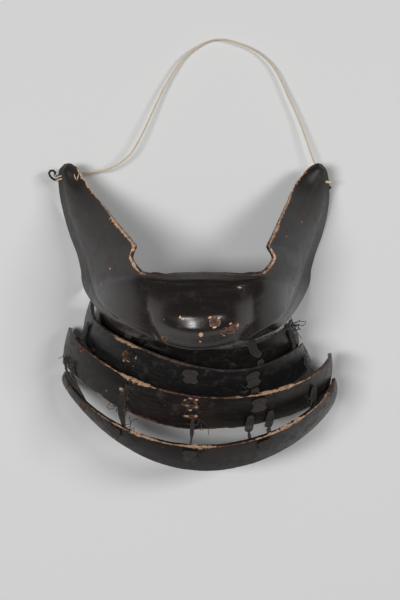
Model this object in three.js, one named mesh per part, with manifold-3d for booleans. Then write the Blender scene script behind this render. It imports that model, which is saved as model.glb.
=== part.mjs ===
// A Japanese half mask for the chin and cheeks, with a laced throat guard of four lames.
// It lies on its open back: +X to the wearer's left, +Y towards the cheek tips, +Z out of the chin.
// Left and right in the names are as seen from the front, so right is towards +X.
import * as THREE from 'three';
import { mergeVertices } from 'three/addons/utils/BufferGeometryUtils.js';
import Module from 'manifold-3d';

const wasm = await Module();
wasm.setup();

// Driving sizes, in millimetres
const MASK_HALF_WIDTH = 79; // middle line to the outside of a cheek
const MASK_REACH = 113; // unit of the up and down measures of shell and lames
const MASK_DEPTH = 104; // back edge to the front of the chin
const SHELL_WALL = 2.2;
const CHIN_SWELL = 11; // how far the chin stands out of the jaw
const CHIN_HALF_WIDTH = 27;
const CHIN_TOP_UP = 9; // where the swell of the chin starts, above the middle line
const CHIN_FULL_UP = -10; // where it is full
const LIP_HOLLOW = 2.2; // depth of the groove under the lip
const TIP_HOLE_RADIUS = 1.7;
const TIP_HOLE_INSET = 3.6; // from the back edge of the tip to the middle of the hole
const LAME_WALL = 2;
const LAME_SWELL = 0.8; // how far the middle of a band stands out of a straight line
const LAME_CORNER = 2.5; // rounding of the band's ends
const LACE_WIDTH = 5.5; // a flat lace of two cords side by side
const LACE_THICKNESS = 1.5;
const PAD_WIDTH = 8; // a cross knot that lies flat on a lame
const SEAT_GAP = 0.45; // clearance between pieces that lie on each other
const TIP_RING_RADIUS = 2.8; // the twine's own ring through a cheek tip
const TIP_RING_CORD = 1.3;
const TWINE_DIAMETER = 1.2;

// Sections of the shell from a cheek tip (at 0) to the middle of the chin (at 1).
// Each section crosses four lines: front edge, belly, jaw fold and back edge. Each line holds the place on the
// left and right side as shares of MASK_HALF_WIDTH, its height up as a share of MASK_REACH and its
// distance from the back as a share of MASK_DEPTH.
const SECTIONS = [
  { at: 0.00, front: [0.897, 0.806, 0.667, 0.16], belly: [0.918, 0.827, 0.669, 0.165],
    fold: [0.936, 0.840, 0.668, 0.155], back: [0.950, 0.852, 0.667, 0.15] },
  { at: 0.04, front: [0.852, 0.752, 0.644, 0.175], belly: [0.920, 0.814, 0.637, 0.19],
    fold: [0.965, 0.868, 0.635, 0.165], back: [0.989, 0.890, 0.634, 0.145] },
  { at: 0.12, front: [0.775, 0.657, 0.560, 0.25], belly: [0.898, 0.789, 0.555, 0.205],
    fold: [0.955, 0.872, 0.552, 0.145], back: [0.995, 0.914, 0.546, 0.096] },
  { at: 0.25, front: [0.655, 0.582, 0.448, 0.42], belly: [0.845, 0.776, 0.446, 0.265],
    fold: [0.920, 0.860, 0.441, 0.155], back: [0.971, 0.907, 0.437, 0.048] },
  { at: 0.38, front: [0.542, 0.516, 0.346, 0.58], belly: [0.780, 0.735, 0.340, 0.33],
    fold: [0.870, 0.812, 0.334, 0.155], back: [0.929, 0.872, 0.329, 0.02] },
  { at: 0.50, front: [0.434, 0.453, 0.250, 0.70], belly: [0.710, 0.686, 0.246, 0.385],
    fold: [0.820, 0.764, 0.238, 0.155], back: [0.877, 0.824, 0.230, 0] },
  { at: 0.58, front: [0.458, 0.490, 0.192, 0.72], belly: [0.688, 0.674, 0.184, 0.405],
    fold: [0.795, 0.734, 0.175, 0.155], back: [0.850, 0.793, 0.150, 0] },
  { at: 0.68, front: [0.390, 0.424, 0.126, 0.77], belly: [0.649, 0.643, 0.109, 0.46],
    fold: [0.761, 0.702, 0.100, 0.195], back: [0.841, 0.784, 0.090, 0] },
  { at: 0.74, front: [0.326, 0.362, 0.112, 0.80], belly: [0.587, 0.566, 0.075, 0.575],
    fold: [0.726, 0.671, 0.044, 0.28], back: [0.804, 0.746, 0.037, 0.115] },
  { at: 0.80, front: [0.253, 0.292, 0.113, 0.82], belly: [0.486, 0.483, 0.041, 0.69],
    fold: [0.665, 0.614, -0.019, 0.435], back: [0.716, 0.671, -0.036, 0.31] },
  { at: 0.86, front: [0.184, 0.222, 0.116, 0.84], belly: [0.370, 0.364, 0.005, 0.785],
    fold: [0.544, 0.528, -0.088, 0.615], back: [0.585, 0.559, -0.119, 0.50] },
  { at: 0.92, front: [0.105, 0.142, 0.121, 0.85], belly: [0.238, 0.232, -0.022, 0.85],
    fold: [0.371, 0.374, -0.148, 0.77], back: [0.411, 0.387, -0.176, 0.635] },
  { at: 0.96, front: [0.042, 0.080, 0.124, 0.855], belly: [0.125, 0.120, -0.038, 0.88],
    fold: [0.220, 0.210, -0.200, 0.825], back: [0.225, 0.205, -0.197, 0.675] },
  { at: 1.00, front: [-0.020, 0.020, 0.125, 0.86], belly: [0.010, -0.010, -0.045, 0.89],
    fold: [0.020, -0.020, -0.227, 0.845], back: [0.015, -0.015, -0.206, 0.69] },
];
// The two cheek tips: the hole's place along the shell from the chin (0) to the tip (1), the radius of the knot
// beside the ring, its cord, and how far it lies past the ring's middle, outwards and down the edge
const TIPS = {
  left: { side: -1, holeAlong: 0.93, knotRadius: 1.7, knotCord: 0.9, knotOut: 5.9, knotDown: 0 },
  right: { side: 1, holeAlong: 0.91, knotRadius: 0.75, knotCord: 0.5, knotOut: 3.4, knotDown: 2.6 },
};
const CORNER_AT = 0.5; // the front edge has a sharp corner in this section
const BELLY_ACROSS = 0.42; // places of the belly and the fold across the wall
const FOLD_ACROSS = 0.8;
const LIP_ACROSS = 0.06; // middle of the groove under the lip across the wall, and half its width
const LIP_FADE = { from: 0.1, to: 0.26 }; // places along the shell where the groove runs out
const CHIN_END_ACROSS = 0.6; // from here the swell of the chin runs out towards the fold
const SHELL_STEPS = 64;
const HOLE_SIDES = 10;
const ACROSS_STEPS = [0, 0.035, 0.07, 0.11, 0.16, 0.23, 0.31, 0.39, 0.47, 0.55, 0.62, 0.69, 0.75, 0.8, 0.9, 1];

// Both edges of each lame, from its left end to its right end: the ends' places to the sides, their heights up and
// the middle's height up, how full the curve is on each side, and the distances from the table at the left end,
// the middle and the right end. Sides are shares of MASK_HALF_WIDTH, ups of MASK_REACH, highs of MASK_DEPTH.
const LAMES = [
  { name: 'lame_1',
    top: { left: 0.69, right: 0.64, leftUp: 0.00, rightUp: -0.09, midUp: -0.222, fullLeft: 1.0, fullRight: 1.5,
      leftHigh: 0.13, midHigh: 0.635, rightHigh: 0.16 },
    low: { left: 0.72, right: 0.70, leftUp: -0.09, rightUp: -0.205, midUp: -0.355, fullLeft: 1.0, fullRight: 1.5,
      leftHigh: 0.05, midHigh: 0.54, rightHigh: 0.06 } },
  { name: 'lame_2',
    top: { left: 0.76, right: 0.712, leftUp: 0.017, rightUp: -0.207, midUp: -0.307, fullLeft: 0.6, fullRight: 2.1,
      leftHigh: 0.14, midHigh: 0.735, rightHigh: 0.17 },
    low: { left: 0.828, right: 0.785, leftUp: -0.14, rightUp: -0.305, midUp: -0.46, fullLeft: 1.0, fullRight: 1.6,
      leftHigh: 0.03, midHigh: 0.62, rightHigh: 0.03 } },
  { name: 'lame_3',
    top: { left: 0.925, right: 0.915, leftUp: -0.132, rightUp: -0.255, midUp: -0.444, fullLeft: 1.7, fullRight: 1.4,
      leftHigh: 0.05, midHigh: 0.70, rightHigh: 0.16 },
    low: { left: 0.972, right: 0.925, leftUp: -0.314, rightUp: -0.372, midUp: -0.608, fullLeft: 2.4, fullRight: 0.95,
      leftHigh: 0.015, midHigh: 0.54, rightHigh: 0.01 } },
  { name: 'lame_4',
    top: { left: 0.954, right: 0.94, leftUp: -0.349, rightUp: -0.376, midUp: -0.681, fullLeft: 1.5, fullRight: 1.5,
      leftHigh: 0.04, midHigh: 0.61, rightHigh: 0.17 },
    low: { left: 0.978, right: 0.972, leftUp: -0.40, rightUp: -0.458, midUp: -0.806, fullLeft: 1.9, fullRight: 1.55,
      leftHigh: 0, midHigh: 0.47, rightHigh: 0 } },
];
const LAME_STEPS = 36;
const LAME_ROWS = 3;
const LAME_PLAN_FULLNESS = 0.8; // below 1 makes a band squarer than an ellipse in plan

// Laces and cross knots. Each lies on its seats in turn. A seat is the piece, the face that is touched, the place
// along the piece from its left end (-1) to its right end (1), and the place across it from 0 to 1.
const OUTER = 1;
const INNER = -1;
const LACES = [
  { name: 'lace_jaw_1_left', width: LACE_WIDTH, seats: [
    ['mask_shell', INNER, -0.10, 0.97], ['lame_1', OUTER, -0.46, 0.12], ['lame_1', OUTER, -0.46, 0.4]] },
  { name: 'lace_jaw_1_right', width: LACE_WIDTH, seats: [
    ['mask_shell', INNER, 0.07, 1.05], ['lame_1', OUTER, 0.37, 0.15], ['lame_1', OUTER, 0.41, 0.42]] },
  { name: 'lace_1_2_left', width: LACE_WIDTH, seats: [
    ['lame_1', OUTER, -0.42, 0.52], ['lame_1', OUTER, -0.42, 0.75], ['lame_2', INNER, -0.38, 0.2]] },
  { name: 'lace_1_2_right', width: LACE_WIDTH, seats: [
    ['lame_1', OUTER, 0.40, 0.57], ['lame_1', OUTER, 0.40, 0.8], ['lame_2', INNER, 0.38, 0.2]] },
  { name: 'lace_1_2_far_right', width: LACE_WIDTH, seats: [
    ['lame_1', OUTER, 0.74, 0.15], ['lame_1', OUTER, 0.75, 0.6], ['lame_2', INNER, 0.74, 0.25]] },
  { name: 'lace_2_3_left', width: LACE_WIDTH, seats: [
    ['lame_2', OUTER, -0.82, 0.25], ['lame_2', OUTER, -0.82, 0.6], ['lame_3', INNER, -0.80, 0.2]] },
  { name: 'pad_2_middle', width: PAD_WIDTH, seats: [
    ['lame_2', OUTER, -0.03, 0.1], ['lame_2', OUTER, -0.03, 0.3], ['lame_2', OUTER, -0.03, 0.5]] },
  { name: 'pad_2_right', width: PAD_WIDTH, seats: [
    ['lame_2', OUTER, 0.32, 0.12], ['lame_2', OUTER, 0.32, 0.33], ['lame_2', OUTER, 0.32, 0.55]] },
  { name: 'lace_2_3_right', width: LACE_WIDTH, seats: [
    ['lame_2', OUTER, 0.32, 0.62], ['lame_2', OUTER, 0.32, 0.85], ['lame_3', INNER, 0.29, 0.18]] },
  { name: 'lace_2_3_far_right', width: LACE_WIDTH, seats: [
    ['lame_2', OUTER, 0.78, 0.4], ['lame_2', OUTER, 0.76, 0.7], ['lame_3', INNER, 0.70, 0.25]] },
  { name: 'pad_3_right', width: PAD_WIDTH, seats: [
    ['lame_3', OUTER, 0.28, 0.1], ['lame_3', OUTER, 0.28, 0.3], ['lame_3', OUTER, 0.28, 0.5]] },
  { name: 'lace_3_4_far_left', width: LACE_WIDTH * 0.6, seats: [
    ['lame_3', OUTER, -0.82, 0.72], ['lame_3', OUTER, -0.75, 1.08], ['lame_4', INNER, -0.73, -0.5],
    ['lame_4', INNER, -0.69, 0.5]] },
  { name: 'lace_3_4_near_left', width: LACE_WIDTH * 0.6, seats: [
    ['lame_3', OUTER, -0.72, 0.6], ['lame_3', OUTER, -0.68, 1.08], ['lame_4', INNER, -0.66, -0.5],
    ['lame_4', INNER, -0.62, 0.5]] },
  { name: 'lace_3_4_left', width: LACE_WIDTH, seats: [
    ['lame_3', OUTER, -0.35, 0.45], ['lame_3', OUTER, -0.35, 0.8], ['lame_3', OUTER, -0.35, 1.1],
    ['lame_4', INNER, -0.37, 0.2]] },
  { name: 'lace_3_4_middle', width: LACE_WIDTH / 2, seats: [
    ['lame_3', OUTER, -0.02, 0.65], ['lame_3', OUTER, -0.02, 0.88], ['lame_3', OUTER, -0.02, 1.1],
    ['lame_4', INNER, -0.04, 0.2]] },
  { name: 'lace_3_4_right_a', width: LACE_WIDTH, seats: [
    ['lame_3', OUTER, 0.24, 0.6], ['lame_3', OUTER, 0.24, 0.85], ['lame_3', OUTER, 0.24, 1.1],
    ['lame_4', INNER, 0.24, 0.2]] },
  { name: 'lace_3_4_right_b', width: LACE_WIDTH, seats: [
    ['lame_3', OUTER, 0.34, 0.57], ['lame_3', OUTER, 0.34, 0.85], ['lame_3', OUTER, 0.34, 1.1],
    ['lame_4', INNER, 0.34, 0.2]] },
  { name: 'lace_3_4_far_right', width: LACE_WIDTH, seats: [
    ['lame_3', OUTER, 0.61, 0.3], ['lame_3', OUTER, 0.61, 0.7], ['lame_4', INNER, 0.60, 0.25]] },
  { name: 'pad_4_left', width: PAD_WIDTH, seats: [
    ['lame_4', OUTER, -0.40, 0.12], ['lame_4', OUTER, -0.40, 0.3], ['lame_4', OUTER, -0.40, 0.5]] },
  { name: 'pad_4_middle', width: PAD_WIDTH, seats: [
    ['lame_4', OUTER, -0.04, 0.15], ['lame_4', OUTER, -0.04, 0.35], ['lame_4', OUTER, -0.04, 0.55]] },
  { name: 'pad_4_right', width: PAD_WIDTH, seats: [
    ['lame_4', OUTER, 0.30, 0.12], ['lame_4', OUTER, 0.30, 0.3], ['lame_4', OUTER, 0.30, 0.5]] },
];
const LACE_STEPS = 8;
// Half outline of a lace's section, as shares of its width and thickness
const LACE_SECTION = [[-0.5, -0.25], [-0.4, -0.5], [0.4, -0.5], [0.5, -0.25]];

// The twine from the left tip to the right tip, as it lies: x, y, z in millimetres from the origin
const TWINE_POINTS = [
  [-75.9, 76.35, 8.93], [-69, 77.3, 8.3], [-62, 79, 9], [-50.5, 80.5, 10], [-39, 88, 9], [-32, 99, 8], [-23, 118.5, 6],
  [-18, 128.5, 5], [-9.5, 142, 4], [0, 150, 3], [10, 154, 3], [20, 152.5, 3], [33, 147, 3], [43, 137, 4],
  [51, 120.5, 5], [57.5, 105.5, 6], [64.5, 85.5, 8], [68, 79.2, 7.5], [71.2, 73.9, 7.7],
];
const TWINE_STEPS = 72;

// Materials, as colour, roughness and metalness
const LACQUER = new THREE.MeshStandardMaterial({ color: 0x2b2422, roughness: 0.28, metalness: 0 });
const LACING = new THREE.MeshStandardMaterial({ color: 0x1d1816, roughness: 0.85, metalness: 0 });
const TWINE = new THREE.MeshStandardMaterial({ color: 0xd6c4a5, roughness: 0.8, metalness: 0 });

const mix = THREE.MathUtils.lerp;
const smoothstep = THREE.MathUtils.smoothstep;

// A smooth curve through rows of { at, point }, each stretch a cubic with slopes from its neighbours
function pointOnRows(rows, at) {
  let index = 0;
  while (index < rows.length - 2 && rows[index + 1].at < at) index += 1;
  const slope = (i) => {
    const before = rows[Math.max(i - 1, 0)];
    const after = rows[Math.min(i + 1, rows.length - 1)];
    return after.point.clone().sub(before.point).divideScalar(after.at - before.at);
  };
  const from = rows[index];
  const to = rows[index + 1];
  const span = to.at - from.at;
  const t = (at - from.at) / span;
  return from.point.clone().multiplyScalar((1 + 2 * t) * (1 - t) ** 2)
    .addScaledVector(slope(index), t * (1 - t) ** 2 * span)
    .addScaledVector(to.point, t * t * (3 - 2 * t))
    .addScaledVector(slope(index + 1), t * t * (t - 1) * span);
}

// Rows of one line of the shell, from the left tip (-1) over the chin (0) to the right tip (1)
function lineRows(line) {
  const place = (section, side) => {
    const [left, right, up, high] = section[line];
    const across = side < 0 ? -left : right;
    return new THREE.Vector3(across * MASK_HALF_WIDTH, up * MASK_REACH, high * MASK_DEPTH);
  };
  const left = SECTIONS.map((section) => ({ at: section.at - 1, point: place(section, -1) }));
  const right = SECTIONS.slice(0, -1).reverse().map((section) => ({ at: 1 - section.at, point: place(section, 1) }));
  return [...left, ...right];
}

const LINES = Object.fromEntries(['front', 'belly', 'fold', 'back'].map((line) => {
  const rows = lineRows(line);
  const corner = 1 - CORNER_AT;
  return [line, {
    leftCheek: rows.filter((row) => row.at <= -corner),
    chin: rows.filter((row) => Math.abs(row.at) <= corner),
    rightCheek: rows.filter((row) => row.at >= corner),
  }];
}));

function linePoint(line, along) {
  const corner = 1 - CORNER_AT;
  let part = 'chin';
  if (along < -corner) part = 'leftCheek';
  if (along > corner) part = 'rightCheek';
  const point = pointOnRows(LINES[line][part], along);
  // Nothing reaches below the surface that the back edge rests on
  point.z = Math.max(point.z, 0);
  return point;
}

// The chin stands out of the jaw as a full round swell that ends at the jaw fold
function chinSwell(point, across) {
  const aside = Math.min(Math.abs(point.x) / CHIN_HALF_WIDTH, 1);
  const rise = smoothstep(-point.y, -CHIN_TOP_UP, -CHIN_FULL_UP);
  const end = 1 - smoothstep(across, CHIN_END_ACROSS, FOLD_ACROSS);
  return CHIN_SWELL * (1 - aside ** 3) * rise * end;
}

// A shallow groove runs under the lip
function lipRelief(along, across) {
  const ends = 1 - smoothstep(Math.abs(along), LIP_FADE.from, LIP_FADE.to);
  const groove = Math.max(0, 1 - Math.abs(across - LIP_ACROSS) / LIP_ACROSS);
  return -LIP_HOLLOW * groove * ends;
}

// A point of the shell's outer face
function shellPoint(along, across) {
  const front = linePoint('front', along);
  const belly = linePoint('belly', along);
  const fold = linePoint('fold', along);
  const back = linePoint('back', along);
  if (across >= FOLD_ACROSS) return fold.lerp(back, (across - FOLD_ACROSS) / (1 - FOLD_ACROSS));
  const rows = [{ at: 0, point: front }, { at: BELLY_ACROSS, point: belly }, { at: FOLD_ACROSS, point: fold }];
  const point = new THREE.Vector3();
  rows.forEach((row, i) => {
    const share = rows.reduce((product, other, j) => (
      i === j ? product : product * (across - other.at) / (row.at - other.at)), 1);
    point.addScaledVector(row.point, share);
  });
  point.z += chinSwell(point, across) + lipRelief(along, across);
  return point;
}

// The face's outward direction, measured between close neighbours
const NEAR = 0.004;
function outward(surface, along, across) {
  const alongStep = surface(Math.min(along + NEAR, 1), across).sub(surface(Math.max(along - NEAR, -1), across));
  const acrossStep = surface(along, across + NEAR).sub(surface(along, across - NEAR));
  return acrossStep.cross(alongStep).normalize();
}

// A closed wall between an outer and an inner grid of points, both rows by columns
function wallGeometry(outer, inner) {
  const rows = outer.length;
  const columns = outer[0].length;
  const positions = [];
  [outer, inner].forEach((grid) => grid.forEach((row) => row.forEach((point) => positions.push(...point))));
  const outerAt = (row, column) => row * columns + column;
  const innerAt = (row, column) => rows * columns + row * columns + column;
  const indices = [];
  const at = (index) => new THREE.Vector3().fromArray(positions, index * 3);
  // Each quad is split along its shorter diagonal
  const quad = (a, b, c, d) => {
    if (at(a).distanceTo(at(c)) <= at(b).distanceTo(at(d))) indices.push(a, b, c, a, c, d);
    else indices.push(a, b, d, b, c, d);
  };
  for (let row = 0; row < rows - 1; row += 1) {
    for (let column = 0; column < columns - 1; column += 1) {
      quad(outerAt(row, column), outerAt(row, column + 1), outerAt(row + 1, column + 1), outerAt(row + 1, column));
      quad(innerAt(row, column), innerAt(row + 1, column), innerAt(row + 1, column + 1), innerAt(row, column + 1));
    }
    quad(outerAt(row, 0), outerAt(row + 1, 0), innerAt(row + 1, 0), innerAt(row, 0));
    const last = columns - 1;
    quad(outerAt(row, last), innerAt(row, last), innerAt(row + 1, last), outerAt(row + 1, last));
  }
  for (let column = 0; column < columns - 1; column += 1) {
    quad(outerAt(0, column), innerAt(0, column), innerAt(0, column + 1), outerAt(0, column + 1));
    const last = rows - 1;
    quad(outerAt(last, column), outerAt(last, column + 1), innerAt(last, column + 1), innerAt(last, column));
  }
  const geometry = new THREE.BufferGeometry();
  geometry.setAttribute('position', new THREE.Float32BufferAttribute(positions, 3));
  geometry.setIndex(indices);
  geometry.computeVertexNormals();
  return geometry;
}

function toManifold(geometry) {
  const bare = geometry.clone();
  bare.deleteAttribute('normal');
  bare.deleteAttribute('uv');
  const merged = mergeVertices(bare);
  return new wasm.Manifold(new wasm.Mesh({
    numProp: 3,
    vertProperties: new Float32Array(merged.attributes.position.array),
    triVerts: new Uint32Array(merged.index.array),
  }));
}

function fromManifold(solid) {
  const mesh = solid.getMesh();
  const geometry = new THREE.BufferGeometry();
  geometry.setAttribute('position', new THREE.Float32BufferAttribute(mesh.vertProperties, 3));
  geometry.setIndex([...mesh.triVerts]);
  geometry.computeVertexNormals();
  return geometry;
}

// The hole through a cheek tip: its middle on the face and its direction
function tipHole({ side, holeAlong }) {
  const along = side * holeAlong;
  const flange = linePoint('fold', along).distanceTo(linePoint('back', along));
  const across = 1 - ((1 - FOLD_ACROSS) * TIP_HOLE_INSET) / flange;
  return { centre: shellPoint(along, across), direction: outward(shellPoint, along, across) };
}

function shellGeometry() {
  const outer = [];
  const inner = [];
  for (let step = 0; step <= SHELL_STEPS; step += 1) {
    const along = -1 + (2 * step) / SHELL_STEPS;
    outer.push(ACROSS_STEPS.map((across) => shellPoint(along, across)));
    inner.push(ACROSS_STEPS.map((across, column) => {
      const point = outer[step][column].clone();
      const normal = outward(shellPoint, along, across);
      // The back edge is cut level, so that the mask lies flat on it
      if (across === 1) normal.setZ(0).normalize();
      return point.addScaledVector(normal, -SHELL_WALL);
    }));
  }
  let solid = toManifold(wallGeometry(outer, inner));
  for (const tip of [TIPS.left, TIPS.right]) {
    const hole = tipHole(tip);
    const drill = new THREE.CylinderGeometry(TIP_HOLE_RADIUS, TIP_HOLE_RADIUS, SHELL_WALL * 6, HOLE_SIDES);
    drill.applyQuaternion(new THREE.Quaternion().setFromUnitVectors(new THREE.Vector3(0, 1, 0), hole.direction));
    drill.translate(...hole.centre);
    solid = solid.subtract(toManifold(drill));
  }
  return fromManifold(solid);
}

// A point of a lame's edge, with turn from -1 at its left end to 1 at its right end
function edgePoint(edge, turn) {
  const angle = (turn * Math.PI) / 2;
  const share = (Math.sin(angle) + 1) / 2;
  const forward = Math.max(Math.cos(angle), 0);
  const fullness = mix(edge.fullLeft, edge.fullRight, share);
  const endUp = mix(edge.leftUp, edge.rightUp, share);
  const middleDrop = edge.midUp - (edge.leftUp + edge.rightUp) / 2;
  const endHigh = mix(edge.leftHigh, edge.rightHigh, share);
  const middleRise = edge.midHigh - (edge.leftHigh + edge.rightHigh) / 2;
  return new THREE.Vector3(
    mix(-edge.left, edge.right, share) * MASK_HALF_WIDTH,
    (endUp + middleDrop * forward ** fullness) * MASK_REACH,
    (endHigh + middleRise * forward ** LAME_PLAN_FULLNESS) * MASK_DEPTH,
  );
}

// A point of a lame's outer face, with down from 0 at its top edge to 1 at its lower edge
function lamePoint(lame, turn, down) {
  const top = edgePoint(lame.top, turn);
  const low = edgePoint(lame.low, turn);
  const point = top.clone().lerp(low, down);
  const middle = new THREE.Vector3(0, point.y, 0);
  const away = point.clone().sub(middle).normalize();
  return point.addScaledVector(away, LAME_SWELL * 4 * down * (1 - down));
}

function lameGeometry(lame) {
  const face = (turn, down) => lamePoint(lame, turn, down);
  const outer = [];
  const inner = [];
  const height = edgePoint(lame.top, 0).distanceTo(edgePoint(lame.low, 0));
  const length = MASK_HALF_WIDTH * (lame.low.left + lame.low.right);
  for (let step = 0; step <= LAME_STEPS; step += 1) {
    const turn = -1 + (2 * step) / LAME_STEPS;
    // The corners are rounded: the last stretch of the band narrows in a quarter circle
    const toEnd = Math.min(1, ((1 - Math.abs(turn)) * length) / LAME_CORNER);
    const cut = (LAME_CORNER / height) * (1 - Math.sqrt(1 - (1 - toEnd) ** 2));
    const downs = Array.from({ length: LAME_ROWS + 1 }, (_, row) => mix(cut, 1 - cut, row / LAME_ROWS));
    outer.push(downs.map((down) => face(turn, down)));
    inner.push(downs.map((down) => (
      face(turn, down).addScaledVector(outward(face, turn, down), -LAME_WALL))));
  }
  return wallGeometry(outer, inner);
}

const PIECES = {
  mask_shell: { face: shellPoint, wall: SHELL_WALL },
  ...Object.fromEntries(LAMES.map((lame) => (
    [lame.name, { face: (turn, down) => lamePoint(lame, turn, down), wall: LAME_WALL }]))),
};

// Where a lace lies on a seat: its middle line, with the gap left free, and the direction off the face
function seatFrame([name, side, along, across]) {
  const { face, wall } = PIECES[name];
  const normal = outward(face, along, across);
  const lift = SEAT_GAP + LACE_THICKNESS / 2;
  const offset = side === OUTER ? lift : -wall - lift;
  return { point: face(along, across).addScaledVector(normal, offset), normal };
}

// A flat band over its seats, closed at both ends
function laceGeometry({ width, seats }) {
  const frames = seats.map(seatFrame);
  const curve = new THREE.CatmullRomCurve3(frames.map((frame) => frame.point));
  const section = [...LACE_SECTION, ...LACE_SECTION.map(([x, y]) => [-x, -y])];
  const sides = section.length;
  const positions = [];
  for (let step = 0; step <= LACE_STEPS; step += 1) {
    const share = step / LACE_STEPS;
    const place = share * (frames.length - 1);
    const index = Math.min(Math.floor(place), frames.length - 2);
    const normal = frames[index].normal.clone().lerp(frames[index + 1].normal, place - index);
    const tangent = curve.getTangent(share);
    const sideways = tangent.clone().cross(normal).normalize();
    const off = sideways.clone().cross(tangent).normalize();
    const middle = curve.getPoint(share);
    section.forEach(([x, y]) => positions.push(...middle.clone()
      .addScaledVector(sideways, x * width).addScaledVector(off, y * LACE_THICKNESS)));
  }
  const indices = [];
  for (let step = 0; step < LACE_STEPS; step += 1) {
    for (let side = 0; side < sides; side += 1) {
      const a = step * sides + side;
      const b = step * sides + ((side + 1) % sides);
      indices.push(a, b + sides, b, a, a + sides, b + sides);
    }
  }
  const last = LACE_STEPS * sides;
  for (let side = 1; side < sides - 1; side += 1) {
    indices.push(0, side, side + 1);
    indices.push(last, last + side + 1, last + side);
  }
  const geometry = new THREE.BufferGeometry();
  geometry.setAttribute('position', new THREE.Float32BufferAttribute(positions, 3));
  geometry.setIndex(indices);
  geometry.computeVertexNormals();
  return geometry;
}

// Directions at a cheek tip: off the face, towards the back edge, and along that edge
function tipFrame(tip) {
  const { centre, direction } = tipHole(tip);
  const toEdge = shellPoint(tip.side * tip.holeAlong, 1).sub(centre).normalize();
  const alongEdge = toEdge.clone().cross(direction).normalize();
  const off = alongEdge.clone().cross(toEdge).normalize();
  const ringMiddle = centre.clone().addScaledVector(off, -SHELL_WALL / 2).addScaledVector(toEdge, TIP_RING_RADIUS);
  return { toEdge, alongEdge, off, ringMiddle };
}

// The twine's ring through the hole and round the back edge of the tip
function tipRingGeometry(tip) {
  const { toEdge, alongEdge, off, ringMiddle } = tipFrame(tip);
  const ring = new THREE.TorusGeometry(TIP_RING_RADIUS, TIP_RING_CORD / 2, 6, 16);
  ring.applyMatrix4(new THREE.Matrix4().makeBasis(toEdge, off, alongEdge));
  return ring.translate(...ringMiddle);
}

// A small knot of dark cord beside the ring
function tipKnotGeometry(tip) {
  const { toEdge, alongEdge, off, ringMiddle } = tipFrame(tip);
  const knot = new THREE.TorusKnotGeometry(tip.knotRadius, tip.knotCord / 2, 28, 5);
  knot.applyMatrix4(new THREE.Matrix4().makeBasis(toEdge, alongEdge, off.clone().negate()));
  const middle = ringMiddle.clone().addScaledVector(toEdge, tip.knotOut)
    .addScaledVector(alongEdge, tip.side * tip.knotDown);
  return knot.translate(...middle);
}

function twineGeometry() {
  const curve = new THREE.CatmullRomCurve3(TWINE_POINTS.map((point) => new THREE.Vector3(...point)));
  const section = new THREE.Shape();
  section.absarc(0, 0, TWINE_DIAMETER / 2, 0, Math.PI * 2);
  return new THREE.ExtrudeGeometry(section, { extrudePath: curve, steps: TWINE_STEPS, curveSegments: 4 });
}

const rigid = new THREE.Group();

function addMesh(parent, name, geometry, material) {
  const mesh = new THREE.Mesh(geometry, material.clone());
  mesh.name = name;
  parent.add(mesh);
}

addMesh(rigid, 'mask_shell', shellGeometry(), LACQUER);
LAMES.forEach((lame) => addMesh(rigid, lame.name, lameGeometry(lame), LACQUER));
LACES.forEach((lace) => addMesh(rigid, lace.name, laceGeometry(lace), LACING));

// The whole stands on its lowest points, with its middle over the origin
const box = new THREE.Box3().setFromObject(rigid);
const centre = box.getCenter(new THREE.Vector3());
rigid.position.set(-centre.x, -centre.y, -box.min.z);
Object.entries(TIPS).forEach(([name, tip]) => {
  addMesh(rigid, `${name}_tip_ring`, tipRingGeometry(tip), TWINE);
  addMesh(rigid, `${name}_tip_knot`, tipKnotGeometry(tip), LACING);
});

const group = new THREE.Group();
group.add(rigid);
addMesh(group, 'twine', twineGeometry(), TWINE);
export default group;
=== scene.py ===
# %% [markdown]
# # A worn lacquer half mask
# The object is a Japanese mask for the chin and cheeks with a throat guard of four curved bands, called
# lames. It stands on its open back. This lesson dresses a finished model of it: every piece is already at
# its place and size, and here it gets a fine surface, worn lacquer, braided lacing and twine. The frame
# holds the pieces as plain solids, so each step can be measured against them.

# %% Load the frame
import math

import bpy
import numpy as np
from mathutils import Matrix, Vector
from mathutils.bvhtree import BVHTree


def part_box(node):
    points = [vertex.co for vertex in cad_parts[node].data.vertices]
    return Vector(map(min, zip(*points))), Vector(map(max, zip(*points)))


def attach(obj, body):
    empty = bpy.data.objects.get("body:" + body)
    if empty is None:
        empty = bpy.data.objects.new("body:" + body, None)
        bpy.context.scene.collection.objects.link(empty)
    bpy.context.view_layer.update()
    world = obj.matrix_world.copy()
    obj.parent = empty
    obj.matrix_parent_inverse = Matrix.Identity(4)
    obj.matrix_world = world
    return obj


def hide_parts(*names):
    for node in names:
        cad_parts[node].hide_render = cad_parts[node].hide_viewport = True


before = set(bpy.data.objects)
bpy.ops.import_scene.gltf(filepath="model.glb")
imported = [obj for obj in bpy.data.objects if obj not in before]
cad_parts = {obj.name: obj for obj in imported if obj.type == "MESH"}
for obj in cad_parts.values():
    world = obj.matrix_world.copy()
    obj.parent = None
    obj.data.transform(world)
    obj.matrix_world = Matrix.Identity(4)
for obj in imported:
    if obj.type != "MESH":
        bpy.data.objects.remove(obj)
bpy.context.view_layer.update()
MM = 0.001
print("nodes", len(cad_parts))

# %% [markdown]
# ## Camera
# The photograph looks straight down on the table from about 0.9 metres. Its scale at the table gives the
# width of a pixel, and the lens follows from that. The camera could be matched by eye; this way a pixel of
# the photograph can be turned into a ray, and each chip and loose thread is placed by the pixel it shows at.

# %% Camera above the table
CAMERA_HEIGHT = 0.9
PIXEL = 0.5634 * MM
PHOTO_WIDTH, PHOTO_HEIGHT = 400, 600
SENSOR = 36.0
VIEW_CENTRE = Vector((0.96 * MM, 7.74 * MM, 0))

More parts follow.
